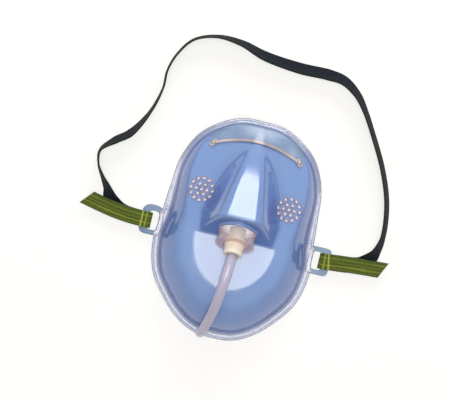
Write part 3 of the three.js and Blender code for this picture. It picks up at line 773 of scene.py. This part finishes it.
def rivet(side):
    place, axis = rivet_place(side)
    seat = CLIP_GAP + CLIP_THICKNESS + GAP
    head, shank, tail = RIVET_HEAD / 2, RIVET_SHANK / 2, -WALL - GAP
    low, dome = tail - RIVET_TAIL_HEIGHT, seat + RIVET_RIM
    profile = [(AXIS_HOLE, low), (head - 0.2, low), (head, low + 0.2)]
    profile += [(head, tail), (shank, tail), (shank, seat), (head - 0.1, seat)]
    for n in range(9):
        angle = math.pi / 2 * n / 9
        profile.append((head * math.cos(angle), dome + RIVET_HEAD_HEIGHT * math.sin(angle)))
    profile.append((AXIS_HOLE, dome + RIVET_HEAD_HEIGHT))
    name = "rivet_head_left" if side < 0 else "rivet_head_right"
    piece = link(name, lathe(name, profile, RIVET_SIDES, axis, place))
    finish_shading(piece.data, 50)
    return piece


def rounded_profile(corners, steps=4):
    """Rounds each [radius, height, fillet] corner of a closed section."""
    out = []
    total = len(corners)
    for n in range(total):
        r, h, fillet = corners[n]
        here = np.array([r, h])
        if fillet <= 0:
            out.append((r, h))
            continue
        before = np.array(corners[n - 1][:2])
        after = np.array(corners[(n + 1) % total][:2])
        start = here + (before - here) / np.linalg.norm(before - here) * fillet
        end = here + (after - here) / np.linalg.norm(after - here) * fillet
        for m in range(steps + 1):
            t = m / steps
            point = (1 - t) ** 2 * start + 2 * t * (1 - t) * here + t * t * end
            out.append((float(point[0]), float(point[1])))
    return out


def port_piece(name, corners, sides):
    """A piece turned about the port's axis."""
    piece = link(name, lathe(name, rounded_profile(corners), sides, PORT_AXIS, PORT_FACE))
    finish_shading(piece.data, 40)
    return piece


def adapter_body():
    outer = ADAPTER_DIAMETER / 2
    lip_top = -WALL - GAP
    lip_bottom = lip_top - ADAPTER_LIP_THICKNESS
    hole = NIPPLE_DIAMETER / 2 + GAP
    end = outer - ADAPTER_TAPER
    band = ADAPTER_REACH - ADAPTER_RING_WIDTH
    ceiling = ADAPTER_REACH - ADAPTER_WALL
    corners = [
        (outer - ADAPTER_WALL, lip_bottom, 0.3),
        (LIP_RADIUS, lip_bottom, 0.4),
        (LIP_RADIUS, lip_top, 0.3),
        (outer, lip_top, 0),
        (end, band, 0.2),
        (end + ADAPTER_RING, band, 0.2),
        (end + ADAPTER_RING, ADAPTER_REACH, 0.5),
        (hole, ADAPTER_REACH, 0.3),
        (hole, ceiling, 0.2),
        (outer - ADAPTER_WALL - ADAPTER_TAPER, ceiling, 0.6),
    ]
    return port_piece("adapter_body", corners, PORT_SIDES)


def nipple_body():
    outer = NIPPLE_DIAMETER / 2
    bore = NIPPLE_BORE / 2
    socket = TUBE_DIAMETER / 2 + GAP
    lip_top = ADAPTER_REACH - ADAPTER_WALL - GAP
    lip_bottom = lip_top - NIPPLE_LIP_THICKNESS
    end = NIPPLE_REACH
    tip = outer - NIPPLE_TAPER
    band = tip + NIPPLE_BAND_RISE
    corners = [
        (bore, NIPPLE_INNER_END, 0.2),
        (outer - 1, NIPPLE_INNER_END, 0.4),
        (outer - 0.9, lip_bottom, 0.3),
        (outer + NIPPLE_LIP, lip_bottom, 0.3),
        (outer + NIPPLE_LIP, lip_top, 0.3),
        (outer, lip_top, 0.2),
        (outer, ADAPTER_REACH + GAP, 0),
        (tip, end - NIPPLE_BAND_FOOT, 0.3),
        (band, end - NIPPLE_BAND, 0.2),
        (band, end, 0.5),
        (socket, end, 0.4),
        (socket, end - TUBE_SOCKET_DEPTH, 0.2),
        (bore, end - TUBE_SOCKET_DEPTH, 0.2),
    ]
    return port_piece("nipple_body", corners, NIPPLE_SIDES)


# Curves
def curve_points(points, per_segment):
    """Points on the centripetal curve through the given ones, with each one's place among them."""
    points = np.asarray(points, float)
    extended = np.vstack([2 * points[0] - points[1], points, 2 * points[-1] - points[-2]])
    made, places = [], []
    for k in range(len(points) - 1):
        a, b, c, d = extended[k:k + 4]
        ab, bc, cd = (np.linalg.norm(q - p) ** 0.5 for p, q in ((a, b), (b, c), (c, d)))
        m1 = ((b - a) / ab - (c - a) / (ab + bc) + (c - b) / bc) * bc
        m2 = ((c - b) / bc - (d - b) / (bc + cd) + (d - c) / cd) * bc
        count = per_segment[k]
        for n in range(count):
            t = n / count
            point = b + m1 * t + (3 * (c - b) - 2 * m1 - m2) * t ** 2 + (2 * (b - c) + m1 + m2) * t ** 3
            made.append(point)
            places.append(k + t)
    made.append(points[-1])
    places.append(len(points) - 1.0)
    return np.array(made), np.array(places)


def tube_body():
    line, _ = curve_points(TUBE_ROUTE, [TUBE_STEPS] * (len(TUBE_ROUTE) - 1))
    tangents = np.gradient(line, axis=0)
    tangents /= np.linalg.norm(tangents, axis=1, keepdims=True)
    side = Vector((1, 0, 0))
    sides = TUBE_SIDES
    outer, inner = TUBE_DIAMETER / 2, TUBE_DIAMETER / 2 - TUBE_WALL
    frames = []
    for centre, tangent in zip(line, tangents):
        tangent = Vector(tangent)
        side = (side - tangent * side.dot(tangent)).normalized()
        frames.append((Vector(centre), side, tangent.cross(side), tangent))

    def ring(frame, radius, shift):
        centre, a, b, ahead = frame
        angles = [2 * math.pi * n / sides for n in range(sides)]
        return [centre + ahead * shift + (a * math.cos(t) + b * math.sin(t)) * radius for t in angles]

    rings = [ring(frame, outer, 0) for frame in frames]
    rings.append(ring(frames[-1], outer - TUBE_END_ROUND, TUBE_END_ROUND))
    rings.append(ring(frames[-1], inner + 0.15, TUBE_END_ROUND))
    rings += [ring(frame, inner, 0) for frame in frames[::-1]]
    points = [p for one in rings for p in one]
    faces = ring_faces(len(rings), sides, closed_rings=True)
    piece = link("tube_body", solid_of("tube_body", points, faces))
    finish_shading(piece.data, 50)
    return piece, line


def strap_section():
    """The strap's section: ribbed faces and round edges, as (across, up, which face)."""
    half, thick = STRAP_WIDTH / 2, STRAP_THICKNESS / 2
    upper = []
    for n in range(SECTION_STEPS + 1):
        u = -1 + 2 * n / SECTION_STEPS
        edge = max(0, abs(u) - 0.93) / 0.07
        crown = math.sqrt(max(0, 1 - edge ** 2))
        rib = RIB_DEPTH * abs(math.sin(math.pi * RIBS * (u + 1) / 2)) - RIB_DEPTH
        upper.append((u * half, (thick + rib) * crown))
    lower = [(u, -up) for u, up in upper[::-1]]
    return upper + lower[1:-1]


def strap_frames():
    """The strap's middle line, with the way its width and its face point along it."""
    route = np.array(STRAP_ROUTE, float)
    spots = route[:, :3] + np.array([0, TAB_Y, 0])
    steps = [max(4, int(np.linalg.norm(b - a) / STRAP_STEP)) for a, b in zip(spots[:-1], spots[1:])]
    line, places = curve_points(spots, steps)
    tangents = np.gradient(line, axis=0)
    tangents /= np.linalg.norm(tangents, axis=1, keepdims=True)
    turn = np.radians(np.interp(places, np.arange(len(route)), route[:, 3]))
    lean = np.radians(np.interp(places, np.arange(len(route)), route[:, 4]))
    width = np.stack([np.cos(turn) * np.cos(lean), np.sin(turn) * np.cos(lean), np.sin(lean)], axis=1)
    width -= (width * tangents).sum(1, keepdims=True) * tangents
    width /= np.linalg.norm(width, axis=1, keepdims=True)
    face = np.cross(tangents, width)
    return line, places, tangents, width, face


def strap_piece(name, frames, first, last, cut_first, cut_last):
    """The stretch of strap between two rows of its route, with its middle line."""
    line, places, tangents, width, face = frames
    chosen = np.flatnonzero((places >= first - 1e-9) & (places <= last + 1e-9))
    section = np.array(strap_section())
    sides = len(section)
    steps = np.linalg.norm(np.diff(line, axis=0), axis=1)
    run = np.concatenate([[0], np.cumsum(steps)])
    along = np.abs(run - run[chosen[-1] if cut_first else chosen[0]])
    points = []
    for n in chosen:
        ring = line[n] + section[:, :1] * width[n] + section[:, 1:] * face[n]
        away = n - chosen[0] if cut_first else chosen[-1] - n
        if (cut_first or cut_last) and away < CUT_FADE:
            ring = ring + STRAP_CUT_SLANT * section[:, :1] * tangents[n] * (1 - away / CUT_FADE)
        points.append(ring)
    rings = len(points)
    points = np.concatenate(points)
    faces = ring_faces(rings, sides)
    half = sides // 2
    start = (rings - 1) * sides
    for n in range(half):
        a, b = n, n + 1
        c, d = (sides - n - 1) % sides, (sides - n) % sides
        faces.append((a, b, c) if d == a else (a, b, c, d) if b != c else (a, b, d))
        p, q = start + a, start + b
        r, s = start + c, start + d
        faces.append((q, p, r) if d == a else (q, p, s, r) if b != c else (q, p, s))
    mesh = mesh_of(name, points, faces)
    uv = mesh.uv_layers.new(name="strap")
    vertex_uv = np.zeros((len(points), 2))
    for k, n in enumerate(chosen):
        rows = slice(k * sides, (k + 1) * sides)
        vertex_uv[rows, 0] = section[:, 0] * MM
        vertex_uv[rows, 1] = along[n] * MM
    corner = np.zeros(len(mesh.loops), int)
    mesh.loops.foreach_get("vertex_index", corner)
    uv.data.foreach_set("uv", vertex_uv[corner].ravel())
    side_of = [0 if (f[0] % sides) < half and (f[-1] % sides) <= half else 1 for f in faces]
    mesh.polygons.foreach_set("material_index", side_of)
    fix_normals(mesh, weld=False)
    finish_shading(mesh, 60)
    return link(name, mesh), line[chosen]


# Materials
class Graph:
    """A short way to build a node material."""

    def __init__(self, name):
        self.material = bpy.data.materials.new(name)
        self.material.use_nodes = True
        self.tree = self.material.node_tree
        self.tree.nodes.clear()
        self.out = self.tree.nodes.new("ShaderNodeOutputMaterial")

    def node(self, kind, settings=None, **inputs):
        made = self.tree.nodes.new("ShaderNode" + kind)
        for key, value in (settings or {}).items():
            setattr(made, key, value)
        for key, value in inputs.items():
            self.set(made.inputs[key.replace("_", " ")], value)
        return made

    def set(self, socket, value):
        if isinstance(value, bpy.types.NodeSocket):
            self.tree.links.new(value, socket)
        elif isinstance(value, (tuple, list)) and len(value) == 3 and socket.type == "RGBA":
            socket.default_value = (*value, 1)
        else:
            socket.default_value = value

    def math(self, operation, a, b=0.5, clamp=False):
        made = self.node("Math", {"operation": operation, "use_clamp": clamp})
        self.set(made.inputs[0], a)
        self.set(made.inputs[1], b)
        return made.outputs[0]

    def multiply_add(self, value, gain, offset, clamp=False):
        made = self.node("Math", {"operation": "MULTIPLY_ADD", "use_clamp": clamp})
        for n, part in enumerate((value, gain, offset)):
            self.set(made.inputs[n], part)
        return made.outputs[0]

    def blend(self, factor, first, second):
        """A shader that goes from the first to the second."""
        made = self.node("MixShader")
        for n, part in enumerate((factor, first.outputs[0], second.outputs[0])):
            self.set(made.inputs[n], part)
        return made.outputs[0]

    def mix(self, factor, a, b, blend="MIX"):
        made = self.node("Mix", {"data_type": "RGBA", "blend_type": blend})
        self.set(made.inputs[0], factor)
        self.set(made.inputs[6], a)
        self.set(made.inputs[7], b)
        return made.outputs[2]

    def ramp(self, factor, stops):
        made = self.node("ValToRGB")
        self.set(made.inputs[0], factor)
        elements = made.color_ramp.elements
        while len(elements) < len(stops):
            elements.new(0.5)
        for element, (place, colour) in zip(elements, stops):
            element.position = place
            element.color = (*colour, 1)
        return made.outputs[0]

    def noise(self, scale, detail=2.0, coordinates=None, stretch=None):
        if coordinates is None:
            coordinates = self.node("TexCoord").outputs["Object"]
        if stretch:
            mapping = self.node("Mapping", Vector=coordinates, Scale=stretch)
            coordinates = mapping.outputs[0]
        return self.node("TexNoise", Vector=coordinates, Scale=scale, Detail=detail).outputs[0]

    def bump(self, height, distance, strength=1.0, normal=None):
        made = self.node("Bump", Height=height, Distance=distance, Strength=strength)
        if normal is not None:
            self.set(made.inputs["Normal"], normal)
        return made.outputs[0]

    def surface(self, socket):
        self.tree.links.new(socket, self.out.inputs["Surface"])
        return self.material


def srgb(r, g, b):
    """Linear colour of an sRGB one from 0 to 255."""
    return tuple(((c / 255 + 0.055) / 1.055) ** 2.4 if c > 10 else c / 255 / 12.92 for c in (r, g, b))


def vinyl(name, tint, colours, deep, body, edge, roughness, wave, gloss=0.06, grain=28,
          stretch=None, contrast=1.0, shine=1.0):
    """Clear soft vinyl: see-through with a milky body, deeper in colour where it is seen at a slant."""
    g = Graph(name)
    facing = g.node("LayerWeight", Blend=0.35).outputs["Facing"]
    slant = g.math("POWER", facing, 1.25)
    blotch = g.multiply_add(g.noise(grain, 3), contrast, 0.5 - 0.5 * contrast, clamp=True)
    cloud = g.mix(blotch, colours[0], colours[1])
    base = g.mix(slant, cloud, deep)
    slow = g.bump(g.noise(55, 1, stretch=stretch), wave)
    normal = g.bump(g.noise(400, 2), 0.00001, 0.15, slow)
    rough = g.multiply_add(g.noise(160, 2), 0.04, roughness)
    shader = g.node("BsdfPrincipled", Base_Color=base, Roughness=rough, Normal=normal,
                    Specular_IOR_Level=shine, Coat_Weight=shine, Coat_IOR=1.6, Coat_Roughness=gloss)
    clear = g.node("BsdfTransparent", Color=g.mix(slant, tint, deep))
    factor = g.multiply_add(facing, edge - body, body, clamp=True)
    return g.surface(g.blend(factor, clear, shader))


def aluminium(name):
    g = Graph(name)
    grain = g.noise(400, 3, stretch=(0.06, 1, 1))
    base = g.mix(grain, srgb(128, 120, 122), srgb(178, 170, 172))
    rough = g.multiply_add(grain, 0.25, 0.42)
    normal = g.bump(grain, 0.00003, 0.6)
    shader = g.node("BsdfPrincipled", Base_Color=base, Roughness=rough, Normal=normal, Metallic=1.0)
    return g.surface(shader.outputs[0])


def cream_plastic(name):
    g = Graph(name)
    cloud = g.noise(180, 3)
    base = g.mix(cloud, srgb(216, 207, 194), srgb(238, 230, 218))
    rough = g.multiply_add(g.noise(700, 2), 0.12, 0.2)
    normal = g.bump(g.noise(1500, 2), 0.00002, 0.4)
    shader = g.node("BsdfPrincipled", Base_Color=base, Roughness=rough, Normal=normal, Subsurface_Weight=0.15,
                    Subsurface_Radius=(0.002, 0.0016, 0.001), Subsurface_Scale=0.6)
    return g.surface(shader.outputs[0])


def elastic(name, stripes, thread, sheen, fold_highlight=None):
    """Woven elastic: lengthwise ribs, fine cross threads and coloured threads along it. A fold colour, where
    given, paints highlight lines near the slot where the strap bends over the tab's bar.
    """
    g = Graph(name)
    uv = g.node("UVMap", {"uv_map": "strap"}).outputs[0]
    parts = g.node("SeparateXYZ", Vector=uv)
    across = g.multiply_add(parts.outputs[0], 1 / (STRAP_WIDTH * MM), 0.5)
    wobble = g.multiply_add(g.noise(60, 2, uv, (14, 1, 1)), 0.2, -0.1)
    place = g.math("ADD", across, wobble)
    base = g.ramp(place, stripes)
    weft = g.node("TexWave", {"bands_direction": "Y"}, Vector=uv, Scale=420.0, Distortion=1.2, Detail=1.0)
    warp = g.node("TexWave", {"bands_direction": "X"}, Vector=uv, Scale=700.0, Distortion=0.6, Detail=1.0)
    weave = g.math("MULTIPLY", weft.outputs[1], warp.outputs[1])
    speck = g.noise(1400, 2, uv, (1, 0.35, 1))
    threads = g.multiply_add(speck, 0.7, -0.12)
    base = g.mix(threads, base, thread)
    # Painted highlights: lines of the fold colour a few millimetres from the slot, where the strap bends over
    # the tab's bar
    if fold_highlight:
        from_slot = g.math("MULTIPLY", parts.outputs[1], 1 / (FOLD_HIGHLIGHT_REACH * MM), clamp=True)
        base = g.mix(g.ramp(from_slot, FOLD_HIGHLIGHTS), base, fold_highlight)
    shade = g.multiply_add(weave, 0.35, 0.72)
    dark = g.node("CombineColor")
    for n in range(3):
        g.set(dark.inputs[n], shade)
    base = g.mix(1.0, base, dark.outputs[0], "MULTIPLY")
    normal = g.bump(weave, 0.00016, 0.8)
    normal = g.bump(speck, 0.00008, 0.5, normal)
    rough = g.multiply_add(speck, 0.2, 0.6)
    shader = g.node("BsdfPrincipled", Base_Color=base, Roughness=rough, Normal=normal,
                    Specular_IOR_Level=0.15, Sheen_Weight=sheen, Sheen_Roughness=0.4)
    return g.surface(shader.outputs[0])


BODY_VINYL = vinyl("body_vinyl", srgb(188, 208, 244), (srgb(116, 154, 206), srgb(142, 176, 222)),
                   srgb(50, 84, 186), 0.46, 0.85, 0.08, 0.0003, 0.11, grain=34, contrast=1.4)
BRIDGE_VINYL = vinyl("bridge_vinyl", srgb(190, 208, 232), (srgb(88, 120, 166), srgb(140, 166, 196)),
                     srgb(70, 98, 156), 0.5, 0.85, 0.3, 0.002, 0.34, stretch=(0.3, 1.6, 1), contrast=2.0)
# The flange's vinyl is a paler copy of the body's: painted light, for the brightness the thin flange and its
# bead show over the white floor
RIM_PAINTED_LIGHT_VINYL = vinyl("rim_vinyl_painted_light", srgb(222, 228, 242), (srgb(104, 122, 174), srgb(210, 214, 234)),
                  srgb(72, 82, 140), 0.4, 0.9, 0.06, 0.0003, grain=24, contrast=1.8)
# The dark edge vinyl of the flange's outer edge; on the vent hole walls it is painted shade
EDGE_VINYL = vinyl("edge_vinyl", srgb(96, 104, 146), (srgb(52, 60, 104), srgb(72, 84, 130)),
                   srgb(40, 46, 90), 0.6, 0.95, 0.08, 0.0002)
# The tabs' vinyl is a darker, more opaque copy of the body's: painted shade, for tabs turned away from the
# light; its low shine only roughens the gloss
TAB_SHADED_VINYL = vinyl("tab_vinyl_painted_shade", srgb(166, 188, 214), (srgb(104, 134, 174), srgb(150, 172, 202)),
                  srgb(40, 54, 112), 0.62, 0.95, 0.4, 0.0002, 0.45, contrast=1.8, shine=0.3)
# The vent rims: high-contrast navy and pale pink specks, where the navy specks are painted shade in and
# around the holes
VENT_SHADE_VINYL = vinyl("vent_vinyl_painted_shade", srgb(170, 168, 204), (srgb(20, 28, 88), srgb(190, 140, 166)),
                   srgb(34, 38, 98), 0.85, 0.95, 0.4, 0.0002, 0.4, grain=900, contrast=4.0, shine=0.6)
ADAPTER_PLASTIC = vinyl("adapter_plastic", srgb(255, 254, 253), (srgb(252, 242, 238), srgb(255, 253, 250)),
                        srgb(232, 200, 212), 0.1, 0.5, 0.05, 0.0001)
TUBE_VINYL = vinyl("tube_vinyl", srgb(240, 240, 253), (srgb(222, 218, 238), srgb(252, 246, 252)),
                   srgb(96, 92, 164), 0.36, 0.92, 0.12, 0.0001, 0.16)
NIPPLE_PLASTIC = cream_plastic("nipple_plastic")
CLIP_METAL = aluminium("clip_metal")
# Where the painted fold highlights lie along the strap, as shares of the reach from its slot
FOLD_HIGHLIGHTS = [(0.3, (0, 0, 0)), (0.36, (0.5, 0.5, 0.5)), (0.42, (0, 0, 0)), (0.54, (0, 0, 0)),
              (0.6, (0.75, 0.75, 0.75)), (0.68, (0, 0, 0))]
GREEN_STRIPES = [
    (0.0, srgb(34, 48, 16)), (0.12, srgb(78, 98, 34)), (0.2, srgb(38, 50, 18)),
    (0.32, srgb(134, 138, 52)), (0.42, srgb(34, 46, 16)), (0.52, srgb(96, 112, 34)),
    (0.62, srgb(44, 38, 20)), (0.74, srgb(112, 128, 46)), (0.86, srgb(40, 52, 20)),
    (0.93, srgb(70, 92, 34)), (1.0, srgb(20, 26, 12)),
]
DARK_STRIPES = [
    (0.0, srgb(4, 6, 16)), (0.3, srgb(10, 16, 34)), (0.5, srgb(4, 8, 24)),
    (0.7, srgb(12, 28, 34)), (1.0, srgb(4, 4, 14)),
]
GREEN = elastic("strap_green", GREEN_STRIPES, srgb(120, 140, 56), 0.12, fold_highlight=srgb(206, 214, 96))
DARK = elastic("strap_dark", DARK_STRIPES, srgb(18, 30, 42), 0.03)


# Pieces
def dress(piece, materials, nodes):
    faces = piece.data.polygons
    chosen = np.zeros(len(faces), int)
    faces.foreach_get("material_index", chosen)
    piece.data.materials.clear()
    for material in materials:
        piece.data.materials.append(material)
    faces.foreach_set("material_index", np.minimum(chosen, len(materials) - 1))
    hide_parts(*nodes)
    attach(piece, "root")


BODY_MATERIALS = [BODY_VINYL, RIM_PAINTED_LIGHT_VINYL, EDGE_VINYL, VENT_SHADE_VINYL, BRIDGE_VINYL, TAB_SHADED_VINYL]
BODY, RIM, EDGE, VENTS, BRIDGE, TABS = range(len(BODY_MATERIALS))


def zone_body(piece):
    """Gives each face of the mask body the material of its zone."""
    centres = np.array([tuple(face.center) for face in piece.data.polygons]) / MM
    x, y, _ = centres.T
    plan = np.hypot(x, y)
    beyond = plan - outer_reach(x, y)
    past_clip = (np.abs(x) < CLIP_HALF_SPAN) & (y > clip_line_y(x))
    zones = np.where(past_clip, BRIDGE, BODY)
    # The flange gets the paler vinyl, which is painted light
    zones[plan > inner_reach(x, y) + RIM_MARGIN] = RIM
    zones[np.abs(beyond) < EDGE_BAND] = EDGE
    # The tabs get the darker vinyl, which is painted shade
    by_tab = np.abs(y - TAB_Y) < TAB_HEIGHT / 2 + TAB_MARGIN
    zones[by_tab & (beyond > EDGE_BAND)] = TABS
    for side in (-1, 1):
        axis = shell_normal(np.array(side * VENT_X), np.array(VENT_Y))
        for vent_x, vent_y in vent_places():
            from_vent = centres - beside_shell(side * (VENT_X + vent_x), VENT_Y + vent_y, 0)
            height = from_vent @ axis
            away = np.linalg.norm(from_vent - height[:, None] * axis, axis=1)
            # Rims get the speckled vent vinyl and hole walls the dark edge vinyl: both paint shade in and
            # around the holes
            zones[(away < VENT_HOLE / 2 + VENT_RIM) & (height > 0.03) & (height < 0.6)] = VENTS
            zones[(away < VENT_HOLE / 2 + 0.05) & (height > -2.5) & (height < 0.2)] = EDGE
    piece.data.polygons.foreach_set("material_index", zones.tolist())
    piece.data.update()


tube, tube_line = tube_body()
dress(tube, [TUBE_VINYL], ["oxygen_tube"])

strap = strap_frames()
run, run_line = strap_piece("strap_run", strap, LEFT_SLOT_ROW, RIGHT_SLOT_ROW, False, False)
tail_left, _ = strap_piece("strap_tail_left", strap, 0, LEFT_SLOT_ROW, True, False)
tail_right, _ = strap_piece("strap_tail_right", strap, RIGHT_SLOT_ROW, len(STRAP_ROUTE) - 1, False, True)
for piece in (run, tail_left, tail_right):
    dress(piece, [GREEN, DARK], ["head_strap"])

body = mask_body()
dress(body, BODY_MATERIALS, ["mask_shell"])
zone_body(body)

dress(clip_strip(), [CLIP_METAL], ["nose_clip"])
dress(rivet(-1), [CLIP_METAL], ["rivet_left"])
dress(rivet(1), [CLIP_METAL], ["rivet_right"])
dress(adapter_body(), [ADAPTER_PLASTIC], ["port_adapter"])
dress(nipple_body(), [NIPPLE_PLASTIC], ["tube_nipple"])


# Stage and light
def seen_ray(tree):
    """1 for the rays that show a background: from the camera, a gloss or a clear body."""
    path = tree.nodes.new("ShaderNodeLightPath")
    total = path.outputs["Is Camera Ray"]
    for kind in ("Is Glossy Ray", "Is Transmission Ray"):
        both = tree.nodes.new("ShaderNodeMath")
        both.operation = "ADD"
        both.use_clamp = True
        tree.links.new(total, both.inputs[0])
        tree.links.new(path.outputs[kind], both.inputs[1])
        total = both.outputs[0]
    return total


FLOOR_HALF = 2.5
FLOOR_DROP = 0.0002
FLOOR_GLOW = 0.7
WORLD_LIGHT = 0.4  # on the object, against 1 where the background is seen


def make_floor():
    corners = [(FLOOR_HALF * x, FLOOR_HALF * y, 0) for x, y in ((-1, -1), (1, -1), (1, 1), (-1, 1))]
    mesh = bpy.data.meshes.new("floor")
    mesh.from_pydata(corners, [], [(0, 1, 2, 3)])
    floor = link("floor", mesh)
    floor.location.z = -FLOOR_DROP
    g = Graph("floor")
    grain = g.noise(6, 2)
    base = g.mix(grain, (0.93, 0.93, 0.93), (0.95, 0.95, 0.95))
    paper = g.node("BsdfDiffuse", Color=base)
    glow = g.node("Emission", Color=(1, 1, 1), Strength=1.0)
    share = g.math("MULTIPLY", seen_ray(g.tree), FLOOR_GLOW)
    mesh.materials.append(g.surface(g.blend(share, paper, glow)))


def area_light(name, location, aim, shape, size, radiance, colour):
    data = bpy.data.lights.new(name, "AREA")
    data.shape = shape
    data.size, data.size_y = size
    data.color = colour
    area = size[0] * size[1] * (math.pi / 4 if shape == "ELLIPSE" else 1)
    data.energy = radiance * math.pi * area
    light = link(name, data)
    light.location = location
    light.rotation_mode = "QUATERNION"
    light.rotation_quaternion = (Vector(location) - Vector(aim)).to_track_quat("Z", "Y")


def make_world():
    world = bpy.data.worlds.new("studio")
    bpy.context.scene.world = world
    world.use_nodes = True
    tree = world.node_tree
    tree.nodes.clear()
    out = tree.nodes.new("ShaderNodeOutputWorld")
    back = tree.nodes.new("ShaderNodeBackground")
    strength = tree.nodes.new("ShaderNodeMapRange")
    strength.inputs["To Min"].default_value = WORLD_LIGHT
    strength.inputs["To Max"].default_value = 1.0
    tree.links.new(seen_ray(tree), strength.inputs["Value"])
    tree.links.new(strength.outputs[0], back.inputs["Strength"])
    back.inputs["Color"].default_value = (1, 1, 1, 1)
    tree.links.new(back.outputs[0], out.inputs["Surface"])


make_floor()
make_world()
area_light("overhead", (0, 0, 1.3), (0, 0, 0), "ELLIPSE", (0.82, 0.82), 6.1, (1, 0.93, 0.78))
area_light("nose_panel", (0, 1.2, 0.6), (0, 0.02, 0.03), "RECTANGLE", (0.8, 0.6), 7.2, (1, 0.98, 0.95))

bpy.context.scene.view_settings.view_transform = "Standard"
